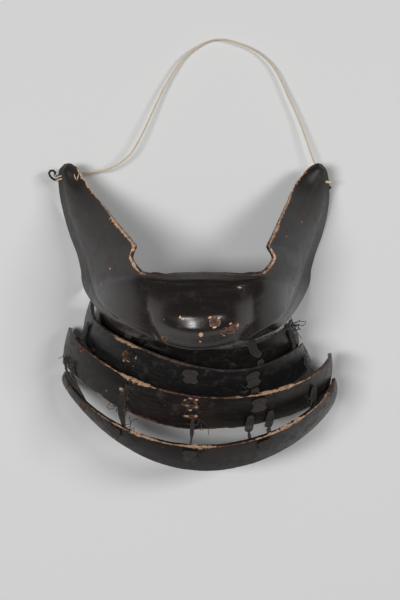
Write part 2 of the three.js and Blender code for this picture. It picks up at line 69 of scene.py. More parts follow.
camera_data = bpy.data.cameras.new("camera")
camera_data.sensor_width = SENSOR
camera_data.lens = SENSOR * CAMERA_HEIGHT / (PHOTO_HEIGHT * PIXEL)
camera = bpy.data.objects.new("camera", camera_data)
camera.location = VIEW_CENTRE + Vector((0, 0, CAMERA_HEIGHT))
bpy.context.scene.collection.objects.link(camera)
bpy.context.scene.camera = camera
print("lens", round(camera_data.lens, 1))


def pixel_ray(px, py):
    """The direction from the camera through a pixel of the photograph, down to the table."""
    return Vector(((px - PHOTO_WIDTH / 2) * PIXEL, (PHOTO_HEIGHT / 2 - py) * PIXEL, -CAMERA_HEIGHT))


def pixel_at_height(px, py, z):
    """The point at height z that shows at a pixel."""
    return camera.location + pixel_ray(px, py) * ((CAMERA_HEIGHT - z) / CAMERA_HEIGHT)


# %% [markdown]
# ## The shape of shell and lames
# The faceted solids give the true form, but lacquer is glossy and shows each facet. Smoothing them with a
# modifier would round the sharp corners too, so the same curves are followed again with many more steps. A
# section table crosses the shell on four lines, and a cubic runs from row to row.

# %% Driving sizes in millimetres
HALF_WIDTH, REACH, DEPTH = 79.0, 113.0, 104.0
SHELL_WALL, LAME_WALL = 2.2, 2.0
CHIN_SWELL, CHIN_HALF_WIDTH, CHIN_TOP_UP, CHIN_FULL_UP = 11.0, 27.0, 9.0, -10.0
LIP_HOLLOW, LIP_ACROSS, LIP_FADE = 2.1, 0.082, (0.13, 0.3)
BELLY_ACROSS, FOLD_ACROSS, CHIN_END_ACROSS = 0.42, 0.8, 0.6
CORNER = 0.5
TIP_HOLE_INSET = 3.6
TIP_HOLE_ALONG = (-0.93, 0.91)
LAME_SWELL, LAME_CORNER, LAME_PLAN_FULLNESS = 0.8, 2.5, 0.8

# %% Sections of the shell
# Rows of the shell from a cheek tip to the middle of the chin: the place along it, then left, right, up
# and high of the front edge, the belly, the jaw fold and the back edge
SECTIONS = [
    (0.00, (0.897, 0.806, 0.667, 0.16), (0.918, 0.827, 0.669, 0.165), (0.936, 0.840, 0.668, 0.155),
     (0.950, 0.852, 0.667, 0.15)),
    (0.04, (0.852, 0.752, 0.644, 0.175), (0.920, 0.814, 0.637, 0.19), (0.965, 0.868, 0.635, 0.165),
     (0.989, 0.890, 0.634, 0.145)),
    (0.12, (0.775, 0.657, 0.560, 0.25), (0.898, 0.789, 0.555, 0.205), (0.955, 0.872, 0.552, 0.145),
     (0.995, 0.914, 0.546, 0.096)),
    (0.25, (0.655, 0.582, 0.448, 0.42), (0.845, 0.776, 0.446, 0.265), (0.920, 0.860, 0.441, 0.155),
     (0.971, 0.907, 0.437, 0.048)),
    (0.38, (0.542, 0.516, 0.346, 0.58), (0.780, 0.735, 0.340, 0.33), (0.870, 0.812, 0.334, 0.155),
     (0.929, 0.872, 0.329, 0.02)),
    (0.50, (0.434, 0.453, 0.250, 0.70), (0.710, 0.686, 0.246, 0.385), (0.820, 0.764, 0.238, 0.155),
     (0.877, 0.824, 0.230, 0)),
    (0.58, (0.458, 0.490, 0.192, 0.72), (0.688, 0.674, 0.184, 0.405), (0.795, 0.734, 0.175, 0.155),
     (0.850, 0.793, 0.150, 0)),
    (0.68, (0.390, 0.424, 0.126, 0.77), (0.649, 0.643, 0.109, 0.46), (0.761, 0.702, 0.100, 0.195),
     (0.841, 0.784, 0.090, 0)),
    (0.74, (0.326, 0.362, 0.112, 0.80), (0.587, 0.566, 0.075, 0.575), (0.726, 0.671, 0.044, 0.28),
     (0.804, 0.746, 0.037, 0.115)),
    (0.80, (0.253, 0.292, 0.113, 0.82), (0.486, 0.483, 0.041, 0.69), (0.665, 0.614, -0.019, 0.435),
     (0.716, 0.671, -0.036, 0.31)),
    (0.86, (0.184, 0.222, 0.116, 0.84), (0.370, 0.364, 0.005, 0.785), (0.544, 0.528, -0.088, 0.615),
     (0.585, 0.559, -0.119, 0.50)),
    (0.92, (0.105, 0.142, 0.121, 0.85), (0.238, 0.232, -0.022, 0.85), (0.371, 0.374, -0.148, 0.77),
     (0.411, 0.387, -0.176, 0.635)),
    (0.96, (0.042, 0.080, 0.124, 0.855), (0.125, 0.120, -0.038, 0.88), (0.220, 0.210, -0.200, 0.825),
     (0.225, 0.205, -0.197, 0.675)),
    (1.00, (-0.020, 0.020, 0.125, 0.86), (0.010, -0.010, -0.045, 0.89), (0.020, -0.020, -0.227, 0.845),
     (0.015, -0.015, -0.206, 0.69)),
]
# %% Edges of the lames
# Both edges of each lame: left, right, left up, right up, middle up, how full on the left and the right,
# and how high at the left end, the middle and the right end
LAMES = {
    "lame_1": ((0.69, 0.64, 0.00, -0.09, -0.222, 1.0, 1.5, 0.13, 0.635, 0.16),
               (0.72, 0.70, -0.09, -0.205, -0.355, 1.0, 1.5, 0.05, 0.54, 0.06)),
    "lame_2": ((0.76, 0.712, 0.017, -0.207, -0.307, 0.6, 2.1, 0.14, 0.735, 0.17),
               (0.828, 0.785, -0.14, -0.305, -0.46, 1.0, 1.6, 0.03, 0.62, 0.03)),
    "lame_3": ((0.925, 0.915, -0.132, -0.255, -0.444, 1.7, 1.4, 0.05, 0.70, 0.16),
               (0.972, 0.925, -0.314, -0.372, -0.608, 2.4, 0.95, 0.015, 0.54, 0.01)),
    "lame_4": ((0.954, 0.94, -0.349, -0.376, -0.681, 1.5, 1.5, 0.04, 0.61, 0.17),
               (0.978, 0.972, -0.40, -0.458, -0.806, 1.9, 1.55, 0, 0.47, 0)),
}
print("section rows", len(SECTIONS), "lames", len(LAMES), "mask", 2 * HALF_WIDTH, "mm wide")


# %% Curves through the section table
def smoothstep(value, low, high):
    share = np.clip((np.asarray(value, float) - low) / (high - low), 0, 1)
    return share * share * (3 - 2 * share)


def cubic_rows(ats, points, at):
    """Points at each place in at, on cubics through the rows with slopes from their neighbours."""
    index = np.clip(np.searchsorted(ats, at, side="left") - 1, 0, len(ats) - 2)
    before = np.maximum(np.arange(len(ats)) - 1, 0)
    after = np.minimum(np.arange(len(ats)) + 1, len(ats) - 1)
    slopes = (points[after] - points[before]) / (ats[after] - ats[before])[:, None]
    span = ats[index + 1] - ats[index]
    t = ((at - ats[index]) / span)[:, None]
    span = span[:, None]
    return (points[index] * (1 + 2 * t) * (1 - t) ** 2 + slopes[index] * t * (1 - t) ** 2 * span
            + points[index + 1] * t * t * (3 - 2 * t) + slopes[index + 1] * t * t * (t - 1) * span)


# %% Lines and faces of the shell
def shell_line(line, along):
    """One line of the shell, from the left tip (-1) over the chin (0) to the right tip (1)."""
    size = np.array([HALF_WIDTH, REACH, DEPTH])
    left = [(row[0] - 1, (-row[line][0], row[line][2], row[line][3])) for row in SECTIONS]
    right = [(1 - row[0], (row[line][1], row[line][2], row[line][3])) for row in reversed(SECTIONS[:-1])]
    ats = np.array([row[0] for row in left + right])
    points = np.array([row[1] for row in left + right]) * size
    out = np.empty((len(along), 3))
    stretches = [(along < -CORNER, ats <= -CORNER), (np.abs(along) <= CORNER, np.abs(ats) <= CORNER),
                 (along > CORNER, ats >= CORNER)]
    for here, rows in stretches:
        if here.any():
            out[here] = cubic_rows(ats[rows], points[rows], along[here])
    out[:, 2] = np.maximum(out[:, 2], 0)
    return out


def shell_point(along, across):
    """Points of the shell's outer face for arrays of places along and across it."""
    front, belly, fold, back = (shell_line(line, along) for line in (1, 2, 3, 4))
    a = across[:, None]
    b, f = BELLY_ACROSS, FOLD_ACROSS
    point = (front * (a - b) * (a - f) / (b * f) + belly * a * (a - f) / (b * (b - f))
             + fold * a * (a - b) / (f * (f - b)))
    aside = np.minimum(np.abs(point[:, 0]) / CHIN_HALF_WIDTH, 1)
    swell = CHIN_SWELL * (1 - aside ** 3) * smoothstep(-point[:, 1], -CHIN_TOP_UP, -CHIN_FULL_UP)
    swell *= 1 - smoothstep(across, CHIN_END_ACROSS, FOLD_ACROSS)
    groove = np.maximum(0, 1 - np.abs(across - LIP_ACROSS) / LIP_ACROSS)
    groove *= 1 - smoothstep(np.abs(along), *LIP_FADE)
    point[:, 2] += swell - LIP_HOLLOW * groove
    flange = fold + (back - fold) * (a - f) / (1 - f)
    return np.where(a >= f, flange, point)


# %% Faces of the lames
def lame_edge(edge, turn):
    left, right, left_up, right_up, mid_up, full_left, full_right, left_high, mid_high, right_high = edge
    share = (np.sin(turn * math.pi / 2) + 1) / 2
    forward = np.maximum(np.cos(turn * math.pi / 2), 0)
    fullness = full_left + (full_right - full_left) * share
    x = (-left + (right + left) * share) * HALF_WIDTH
    y = left_up + (right_up - left_up) * share + (mid_up - (left_up + right_up) / 2) * forward ** fullness
    z = (left_high + (right_high - left_high) * share
         + (mid_high - (left_high + right_high) / 2) * forward ** LAME_PLAN_FULLNESS)
    return np.stack([x, y * REACH, z * DEPTH], 1)


def lame_point(name, turn, down):
    top, low = (lame_edge(edge, turn) for edge in LAMES[name])
    point = top + (low - top) * down[:, None]
    away = point * np.array([1, 0, 1])
    away /= np.linalg.norm(away, axis=1, keepdims=True)
    return point + away * (LAME_SWELL * 4 * down * (1 - down))[:, None]


# %% Directions off a face
def outward(face, u, v, near=0.004):
    """The outward direction of a face, from close neighbours."""
    along_step = face(np.minimum(u + near, 1), v) - face(np.maximum(u - near, -1), v)
    across_step = face(u, v + near) - face(u, v - near)
    normal = np.cross(across_step, along_step)
    return normal / np.linalg.norm(normal, axis=1, keepdims=True)


FACES = {"mask_shell": (shell_point, SHELL_WALL)}
for lame in LAMES:
    FACES[lame] = ((lambda name: lambda turn, down: lame_point(name, turn, down))(lame), LAME_WALL)

# From the tables' middle to the middle of the frame, in millimetres
SHIFT = np.array([0.9575, 7.7437, 0.0])
print("cheek tips", np.round(shell_point(np.array([-1.0, 1.0]), np.zeros(2)) + SHIFT, 1).tolist())

# %% [markdown]
# ## Walls from two grids
# A wall is an outer grid, an inner grid and four rims. A Solidify modifier could thicken a sheet, but it
# loses track of which side is which, and the wear needs to know. The steps across are close together near
# both edges, because wear and chips live there. Broken edges are cut in the grid itself: each column starts
# a little later where the edge is gone.

# %% Steps and rough edges
EDGE_PACKING = 0.72
SHELL_EDGE_ROUNDING, LAME_EDGE_ROUNDING = 0.45, 0.4
# The share of a wall's thickness by which its inner edge counts as further from wear than its outer edge
RIM_SHARE = 0.6
ROUGH_CELLS = 4000
ROUNDED_FROM, SHARP_FROM = math.radians(50), math.radians(42)


def packed_steps(count):
    """Places from 0 to 1 that are closer together near both ends."""
    even = np.linspace(0, 1, count)
    return EDGE_PACKING * (1 - np.cos(even * math.pi)) / 2 + (1 - EDGE_PACKING) * even


def rough_line(places, cell, seed):
    """Smooth random heights from -1 to 1 along a line, one new height in each cell."""
    heights = np.random.default_rng(seed).uniform(-1, 1, ROUGH_CELLS)
    scaled = np.asarray(places, float) / cell + ROUGH_CELLS // 4
    index = np.floor(scaled).astype(int)
    share = smoothstep(scaled - index, 0, 1)
    return heights[index] * (1 - share) + heights[index + 1] * share


def broken_edge(places, seed, depth):
    """How much of an edge is gone, in millimetres, along its length in millimetres."""
    coarse = np.maximum(rough_line(places, 9, seed), 0) ** 2
    fine = np.maximum(rough_line(places, 2.2, seed + 1), 0)
    return depth * (0.15 + 0.65 * coarse + 0.35 * fine)


print("steps across", np.round(packed_steps(7), 3).tolist())


# %% A closed wall
def wall_mesh(name, outer, inner, values):
    """A closed wall from two grids. Each of values is an attribute, with what the inner face adds."""
    rows, columns = outer.shape[:2]
    points = np.concatenate([outer.reshape(-1, 3), inner.reshape(-1, 3)]) * MM
    grid = np.arange(rows * columns).reshape(rows, columns)
    under = grid + rows * columns

    def strips(a, b, c, d):
        return np.stack([a, b, c, d], -1).reshape(-1, 4)

    quads = [
        strips(grid[:-1, :-1], grid[:-1, 1:], grid[1:, 1:], grid[1:, :-1]),
        strips(under[:-1, :-1], under[1:, :-1], under[1:, 1:], under[:-1, 1:]),
        strips(grid[:-1, 0], grid[1:, 0], under[1:, 0], under[:-1, 0]),
        strips(grid[:-1, -1], under[:-1, -1], under[1:, -1], grid[1:, -1]),
        strips(grid[0, :-1], under[0, :-1], under[0, 1:], grid[0, 1:]),
        strips(grid[-1, :-1], grid[-1, 1:], under[-1, 1:], under[-1, :-1]),
    ]
    mesh = bpy.data.meshes.new(name)
    mesh.from_pydata(points.tolist(), [], np.concatenate(quads).tolist())
    for key, (value, added_inside) in values.items():
        attribute = mesh.attributes.new(key, "FLOAT", "POINT")
        both = np.concatenate([value.ravel(), value.ravel() + added_inside])
        attribute.data.foreach_set("value", both.astype(np.float32))
    piece = bpy.data.objects.new(name, mesh)
    bpy.context.scene.collection.objects.link(piece)
    return piece


# %% Rounded edges
def apply_modifiers(piece):
    """Turns the piece's modifiers into its mesh."""
    shown = piece.evaluated_get(bpy.context.evaluated_depsgraph_get())
    mesh = bpy.data.meshes.new_from_object(shown)
    piece.modifiers.clear()
    piece.data = mesh


def round_edges(piece, width):
    bevel = piece.modifiers.new("round edges", "BEVEL")
    bevel.width = width * MM
    bevel.segments = 2
    bevel.limit_method = "ANGLE"
    bevel.angle_limit = ROUNDED_FROM
    bevel.use_clamp_overlap = True
    apply_modifiers(piece)
    piece.data.shade_smooth()
    piece.data.set_sharp_from_angle(angle=SHARP_FROM)


def arc_lengths(points):
    steps = np.linalg.norm(np.diff(points, axis=0), axis=1)
    return np.concatenate([[0], np.cumsum(steps)])


# %% [markdown]
# ## The mask shell
# The chin bulges out of the jaw, two sharp creases part it from the cheeks, and a crisp fold runs along each
# jaw. A sculpting brush could press them in. Here lines of pixels from the photograph do it, so that a fold
# moves when its numbers are changed.

# %% Folds from the photograph
# Each crease: its depth and width in millimetres, then its way in pixels of the photograph
CREASES = [
    (1.6, 0.9, [(146.4, 309), (149, 322), (155, 334), (164, 346)]),
    (1.5, 0.9, [(251.5, 322), (246, 333), (238, 343.5)]),
    (0.45, 0.75, [(86, 256), (88, 269), (91, 282), (95, 295), (103, 307), (115, 318), (130, 325),
                  (146, 331)]),
    (0.45, 0.75, [(303.6, 254), (302, 268), (299, 282), (294, 298), (286, 313), (274, 325), (258, 334)]),
]


def in_photo(points):
    """Pixels at which points in millimetres show, before the shift to the frame."""
    away = CAMERA_HEIGHT / (CAMERA_HEIGHT - points[..., 2] * MM) * MM / PIXEL
    return np.stack([PHOTO_WIDTH / 2 + points[..., 0] * away, PHOTO_HEIGHT / 2 - points[..., 1] * away], -1)


def way_distance(pixels, way):
    """Distance in pixels from a way of straight stretches, and the share of it that is behind."""
    way = np.array(way, float)
    nearest, share_behind = np.full(len(pixels), 1e9), np.zeros(len(pixels))
    for index, (start, end) in enumerate(zip(way, way[1:])):
        stretch = end - start
        share = np.clip(((pixels - start) @ stretch) / (stretch @ stretch), 0, 1)
        distance = np.linalg.norm(pixels - (start + share[:, None] * stretch), axis=1)
        closer = distance < nearest
        nearest[closer] = distance[closer]
        share_behind[closer] = (index + share[closer]) / (len(way) - 1)
    return nearest, share_behind


print("folds", [len(way) for _, _, way in CREASES])

# %% Shell piece
SHELL_COLUMNS, SHELL_ROWS = 400, 84
SHELL_DAMAGE, SHELL_SEED = 0.55, 31


def make_shell():
    along = np.linspace(-1, 1, SHELL_COLUMNS)
    steps = packed_steps(SHELL_ROWS)
    front = shell_point(along, np.zeros_like(along))
    back = shell_point(along, np.ones_like(along))
    middle = shell_point(along, np.full_like(along, 0.5))
    length = arc_lengths(front)
    width = (np.linalg.norm(middle - front, axis=1) + np.linalg.norm(back - middle, axis=1))
    first = broken_edge(length, SHELL_SEED, SHELL_DAMAGE) / width
    u = np.repeat(along[:, None], SHELL_ROWS, 1)
    v = first[:, None] + (1 - first[:, None]) * steps[None, :]
    outer = shell_point(u.ravel(), v.ravel())
    normal = outward(shell_point, u.ravel(), v.ravel())
    at_back = np.isclose(v.ravel(), 1)
    level = normal * np.array([1, 1, 0])
    level /= np.linalg.norm(level, axis=1, keepdims=True)
    inner = outer - np.where(at_back[:, None], level, normal) * SHELL_WALL
    pixels = in_photo(outer)
    for depth, spread, way in CREASES:
        distance, share = way_distance(pixels, way)
        pressed = depth * np.exp(-(distance * PIXEL / MM / spread) ** 2) * np.sin(share * math.pi) ** 0.4
        outer = outer - normal * pressed[:, None]
    outer[:, 2], inner[:, 2] = np.maximum(outer[:, 2], 0), np.maximum(inner[:, 2], 0)
    shape = (SHELL_COLUMNS, SHELL_ROWS, 3)
    outer, inner = outer.reshape(shape) + SHIFT, inner.reshape(shape) + SHIFT
    from_front = v * width[:, None]
    from_back = (1 - v) * width[:, None]
    piece = wall_mesh("shell_skin", outer, inner, {
        "along": (u, 0), "from_front": (from_front - from_front[:, :1], RIM_SHARE * SHELL_WALL),
        "from_back": (from_back, RIM_SHARE * SHELL_WALL)})
    round_edges(piece, SHELL_EDGE_ROUNDING)
    return piece


shell = make_shell()
print("shell faces", len(shell.data.polygons))

# %% [markdown]
# ## The four lames
# Each band is the same kind of wall, so one function makes all four from two edge lines. Its top edge is
# chipped and its lower edge is worn; the third band has torn along its lower edge, so more is cut from it.

# %% Lame pieces
LAME_COLUMNS, LAME_ROWS = 220, 26
# Depth of the damage at the top and lower edge of each lame, in millimetres
EDGE_DAMAGE = {"lame_1": (0.5, 0.4), "lame_2": (0.6, 0.5), "lame_3": (0.7, 1.3), "lame_4": (0.6, 0.5)}


def make_lame(name, seed):
    face, wall = FACES[name]
    turn = np.linspace(-1, 1, LAME_COLUMNS)
    top = face(turn, np.zeros_like(turn))
    low_edge = face(turn, np.ones_like(turn))
    width = np.linalg.norm(low_edge - top, axis=1)
    length = arc_lengths(low_edge)
    to_end = np.minimum(1, np.minimum(length, length[-1] - length) / LAME_CORNER)
    corner = LAME_CORNER * (1 - np.sqrt(1 - (1 - to_end) ** 2))
    top_damage, low_damage = EDGE_DAMAGE[name]
    first = (corner + broken_edge(length, seed, top_damage)) / width
    last = 1 - (corner + broken_edge(length, seed + 5, low_damage)) / width
    steps = packed_steps(LAME_ROWS)
    u = np.repeat(turn[:, None], LAME_ROWS, 1)
    v = first[:, None] + (last - first)[:, None] * steps[None, :]
    outer = face(u.ravel(), v.ravel())
    inner = outer - outward(face, u.ravel(), v.ravel()) * wall
    shape = (LAME_COLUMNS, LAME_ROWS, 3)
    outer[:, 2], inner[:, 2] = np.maximum(outer[:, 2], 0), np.maximum(inner[:, 2], 0)
    piece = wall_mesh(name + "_skin", outer.reshape(shape) + SHIFT, inner.reshape(shape) + SHIFT, {
        "along": (u, 0), "from_front": ((v - v[:, :1]) * width[:, None], RIM_SHARE * wall),
        "from_back": ((v[:, -1:] - v) * width[:, None], RIM_SHARE * wall)})
    round_edges(piece, LAME_EDGE_ROUNDING)
    return piece


LAME_SEEDS = (50, 60, 70, 80)
lames = {name: make_lame(name, seed) for name, seed in zip(LAMES, LAME_SEEDS)}
print("lame faces", {name: len(piece.data.polygons) for name, piece in lames.items()})

# %% [markdown]
# ## Where the edges are worn
# Handling has rubbed the lacquer off the edges, more in some places than in others. For each piece a short
# table gives the width of the bare edge, in millimetres, at a few pixel columns of the photograph, for its
# front or top edge and for its back or lower edge. Each point of the mesh then carries its own width. A
# painted mask could do this too, but numbers on the mesh keep sharp at any picture size.

# %% Bare edge widths
EDGE_WEAR = {
    "mask_shell": (((55, 0.1), (76, 0.5), (80, 1.5), (134, 1.4), (140, 0.8), (150, 0.25), (165, 0.3),
                    (180, 0.55), (215, 0.45), (250, 0.25), (262, 0.6), (275, 1.0), (308, 0.9), (318, 0.35),
                    (328, 0.1)),
                   ((55, 0.1), (86, 0.15), (92, 0.35), (110, 0.15), (148, 0), (250, 0), (255, 1.8),
                    (284, 1.5), (300, 0.2), (330, 0.1))),
    "lame_1": (((80, 0.2), (105, 0.35), (125, 0.2), (140, 0), (250, 0), (300, 0.15)),
               ((80, 0.1), (110, 0.1), (300, 0.1))),
    "lame_2": (((70, 0.2), (100, 0.25), (112, 0.4), (118, 1.2), (138, 1.0), (146, 0.3), (158, 0.45),
                (186, 0.4), (196, 0.15), (216, 0.15), (224, 0.4), (240, 0.35), (250, 0.15), (300, 0.25)),
               ((70, 0.15), (150, 0), (300, 0.1))),
    "lame_3": (((62, 0.3), (90, 0.35), (105, 0.6), (116, 1.2), (128, 1.5), (146, 1.3), (160, 0.75),
                (174, 0.4), (235, 0.5), (250, 1.1), (262, 1.4), (285, 1.2), (302, 0.9), (325, 0.4)),
               ((62, 0.2), (88, 0.4), (92, 1.0), (120, 0.9), (132, 1.3), (200, 1.2), (246, 0.6), (256, 0.15),
                (335, 0.3))),
    "lame_4": (((62, 0.3), (90, 0.4), (105, 0.9), (130, 1.0), (170, 1.3), (205, 1.2), (225, 0.5), (245, 0.7),
                (256, 1.25), (318, 1.0), (336, 0.6)),
               ((62, 0.2), (200, 0.1), (336, 0.3))),
}
print("widest bare edges", {name: max(width for _, width in tables[0]) for name, tables in EDGE_WEAR.items()})


# %% Wear on the meshes
def carry_wear(piece, name):
    """Gives every point of the mesh the width of the bare edge beside it."""
    mesh = piece.data
    points = np.empty(len(mesh.vertices) * 3)
    mesh.vertices.foreach_get("co", points)
    columns = in_photo(points.reshape(-1, 3) / MM - SHIFT)[:, 0]
    for key, table in zip(("wear_front", "wear_back"), EDGE_WEAR[name]):
        places, widths = zip(*table)
        attribute = mesh.attributes.new(key, "FLOAT", "POINT")
        attribute.data.foreach_set("value", np.interp(columns, places, widths).astype(np.float32))


carry_wear(shell, "mask_shell")
for name, piece in lames.items():
    carry_wear(piece, name)
print("numbers on the shell's mesh", [a.name for a in shell.data.attributes if a.data_type == "FLOAT"])

# %% [markdown]
# ## Finding places on the surface
# Chips, holes and loose threads sit where the photograph shows them. They could be moved there by hand; a
# ray through the pixel finds the point on the piece at once, so a mark is right from every side.

# %% Rays onto the pieces
def surface_tree(piece):
    points = [vertex.co.copy() for vertex in piece.data.vertices]
    return BVHTree.FromPolygons(points, [tuple(face.vertices) for face in piece.data.polygons])


TREES = {"mask_shell": surface_tree(shell), **{name: surface_tree(piece) for name, piece in lames.items()}}


def on_piece(name, px, py):
    """The point of a piece that shows at a pixel, with its direction, or the nearest point of that piece."""
    ray = pixel_ray(px, py).normalized()
    place, normal, _, _ = TREES[name].ray_cast(camera.location, ray)
    if place is None:
        z = (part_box(name)[0].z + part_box(name)[1].z) / 2
        place, normal, _, _ = TREES[name].find_nearest(pixel_at_height(px, py, z))
    return place, normal


CHIN_HIGHLIGHT = (190, 326)
print("highlight of the chin at", [round(c, 4) for c in on_piece("mask_shell", *CHIN_HIGHLIGHT)[0]])

# %% [markdown]
# ## A helper for shader nodes
# Each finish is a small tree of nodes. Written out one by one, nodes and links fill pages. This helper adds
# a node, sets its values and links its inputs, so that a material reads from top to bottom like a recipe.

# %% Node helper
def add_node(tree, kind, inputs=None, **settings):
    """A node with its settings, and each input as a value or as a link."""
    node = tree.nodes.new(kind)
    for key, value in settings.items():
        setattr(node, key, value)
    for key, value in (inputs or {}).items():
        if isinstance(value, bpy.types.NodeSocket):
            tree.links.new(value, node.inputs[key])
        else:
            node.inputs[key].default_value = value
    return node


class Recipe:
    def __init__(self, name):
        self.material = bpy.data.materials.new(name)
        self.material.use_nodes = True
        self.tree = self.material.node_tree
        self.tree.nodes.clear()
        self.output = self.tree.nodes.new("ShaderNodeOutputMaterial")
        self.place = self.add("ShaderNodeTexCoord").outputs["Object"]

    def add(self, kind, inputs=None, **settings):
        return add_node(self.tree, kind, inputs, **settings)

    def math(self, operation, *values):
        return self.add("ShaderNodeMath", dict(enumerate(values)), operation=operation).outputs[0]

    def times(self, first, second):
        return self.math("MULTIPLY", first, second)

    def plus(self, first, second):
        return self.math("ADD", first, second)

    def larger(self, first, second):
        return self.math("MAXIMUM", first, second)

    def noise(self, scale, detail=4, roughness=0.55, vector=None, distortion=0.0):
        return self.add("ShaderNodeTexNoise", {
            "Vector": vector or self.place, "Scale": scale, "Detail": detail, "Roughness": roughness,
            "Distortion": distortion}).outputs["Fac"]

    def step(self, value, low, high, start=0.0, end=1.0):
        return self.add("ShaderNodeMapRange", {
            "Value": value, "From Min": low, "From Max": high, "To Min": start, "To Max": end},
            interpolation_type="SMOOTHSTEP").outputs["Result"]

    def blend(self, share, first, second):
        first, second = ((*end, 1) if isinstance(end, tuple) else end for end in (first, second))
        return self.add("ShaderNodeMix", {0: share, 6: first, 7: second}, data_type="RGBA").outputs[2]

    def number(self, name):
        return self.add("ShaderNodeAttribute", attribute_name=name, attribute_type="GEOMETRY").outputs["Fac"]

    def along_piece(self, along_scale, across_scale):
        """A vector that follows the piece: the place along it, then the millimetres from its front edge."""
        return self.add("ShaderNodeCombineXYZ", {
            "X": self.times(self.number("along"), along_scale),
            "Y": self.times(self.number("from_front"), across_scale)}).outputs["Vector"]

    def finish(self, colour, roughness, height=None, height_metres=0.0002, **constants):
        shader = self.add("ShaderNodeBsdfPrincipled", {"Base Color": colour, "Roughness": roughness})
        for key, value in constants.items():
            shader.inputs[key.replace("_", " ")].default_value = value
        if height is not None:
            bump = self.add("ShaderNodeBump", {"Height": height, "Distance": height_metres, "Strength": 1.0})
            self.tree.links.new(bump.outputs["Normal"], shader.inputs["Normal"])
        self.tree.links.new(shader.outputs["BSDF"], self.output.inputs["Surface"])
        return self.material


print("recipe steps", [step for step in vars(Recipe) if not step.startswith("_")])

# %% [markdown]
# ## Chips and holes
# A chip is an uneven patch where the lacquer has flaked off and the ground shows, with a dark rim. Deep ones
# are pale all over, shallow ones are mottled red-brown and pale only at their rim. Random noise would put
# them anywhere, so each is a short table row: its pixel, its half width and half height in pixels, and how
# far it is turned in degrees.

# %% Chip tables
DEEP_CHIPS = {
    "mask_shell": [
        (180.0, 317.2, 0.8, 1.7, 20), (182.6, 318.8, 1.9, 0.9, 25), (201, 334.7, 2.3, 2.5, 0),
        (200.2, 341.7, 0.9, 1.2, 0), (163.8, 319.6, 0.6, 0.6, 0), (239.6, 287.5, 2.0, 0.7, 8),
        (209.8, 317.4, 1.7, 0.8, -30), (218.8, 318.2, 1.6, 0.8, 20), (214.5, 327.4, 2.0, 0.7, -15),
        (230.5, 323.6, 1.6, 0.8, -25), (237.6, 325.4, 0.7, 1.8, 20), (224.2, 335.6, 1.3, 0.7, 0),
        (110, 268.6, 0.9, 1.0, 0), (101.0, 284.4, 2.2, 0.35, 5), (110, 218.6, 0.35, 2.2, 35),
        (105.5, 226, 0.3, 1.0, 20), (86.2, 213.8, 0.6, 0.6, 0), (286.7, 236.6, 0.6, 0.8, 0),
        (74.9, 176.6, 0.55, 4.4, -19), (78.0, 176.6, 0.6, 4.6, 14),
    ],
    "lame_1": [],
    "lame_2": [(123.6, 360.6, 1.5, 1.2, 30), (135.8, 358.0, 0.8, 1.9, 15), (133.4, 366.2, 0.6, 0.8, 0),
               (128.4, 361.4, 1.6, 0.6, 20)],
    "lame_3": [(121, 389.6, 2.0, 2.2, 0), (184.8, 400, 1.8, 0.9, -25), (190.6, 398.2, 1.7, 0.8, 15),
               (196.8, 399.8, 1.3, 1.0, 0), (187, 405.8, 1.6, 0.8, 20), (196.2, 407.4, 1.5, 0.8, -20),
               (190.5, 410.3, 1.8, 0.7, 0), (186, 416, 3.2, 0.8, 5), (196.2, 416.0, 1.9, 1.5, 0),
               (199.6, 412.2, 0.7, 1.4, 15), (124.5, 402.6, 1.0, 1.3, 0), (165, 405.6, 0.4, 0.6, 0)],
    "lame_4": [(163, 447, 0.8, 0.4, 10)],
}
SHALLOW_CHIPS = {
    "mask_shell": [
        (214.6, 321.6, 5.6, 4.8, 0), (224, 331.3, 2.7, 4.2, 15), (233, 329.5, 5.2, 5.0, -30),
        (237.2, 324.6, 2.6, 3.0, 20), (242.0, 327.2, 1.2, 1.0, 0), (165, 338, 3.4, 2.2, 40),
        (302, 222, 1.5, 1.9, 0),
    ],
    "lame_1": [(150, 340, 2.0, 1.0, 10)],
    "lame_2": [(126, 356, 4.6, 5.0, 0), (83, 352, 3.0, 1.6, 30)],
    "lame_3": [(190, 404, 7.6, 6.6, 0), (81, 349, 3.4, 3.0, 0), (125, 396, 4.0, 8.0, 0),
               (107, 391, 2.2, 1.6, 0), (190, 416.5, 7.4, 1.8, 5)],
    "lame_4": [(327, 388, 6.5, 5.0, -40), (69, 385, 2.6, 6.0, -20), (84, 408, 3.0, 6.0, -35)],
}
HOLES = {
    "mask_shell": [],
    "lame_1": [],
    "lame_2": [(129, 350.5, 1.5, 1.5, 0), (135.5, 354, 1.5, 1.4, 0), (126, 364, 1.2, 1.2, 0)],
    "lame_3": [(191, 403.5, 2.0, 1.4, 0), (184, 403.4, 1.3, 1.1, 0), (199, 404.6, 1.2, 1.4, 0),
               (124, 385, 1.5, 1.5, 0), (194, 412.6, 1.6, 0.8, 0)],
    "lame_4": [],
}
print("chips", {name: len(DEEP_CHIPS[name]) + len(SHALLOW_CHIPS[name]) for name in DEEP_CHIPS})

# %% One value for all patches of a piece
STEEPEST = 0.35


def patches(recipe, name, table, ragged):
    """How far inside the nearest patch a point is, in millimetres, less than zero outside all of them."""
    best = None
    for px, py, half_width, half_height, turned in table:
        place, normal = on_piece(name, px, py)
        size = [half * PIXEL for half in (half_width, half_height)]
        tilt = 1 / max(abs(normal.z), STEEPEST)
        local = recipe.add("ShaderNodeMapping", {
            "Vector": recipe.place, "Location": tuple(place), "Rotation": (0, 0, -math.radians(turned)),
            "Scale": (size[0], size[1], max(size) * tilt)}, vector_type="TEXTURE").outputs["Vector"]
        reach = recipe.add("ShaderNodeVectorMath", {0: local}, operation="LENGTH").outputs["Value"]
        mean = (size[0] * size[1]) ** 0.5 / MM
        inside = recipe.times(recipe.math("SUBTRACT", ragged, reach), mean)
        best = inside if best is None else recipe.larger(best, inside)
    return best


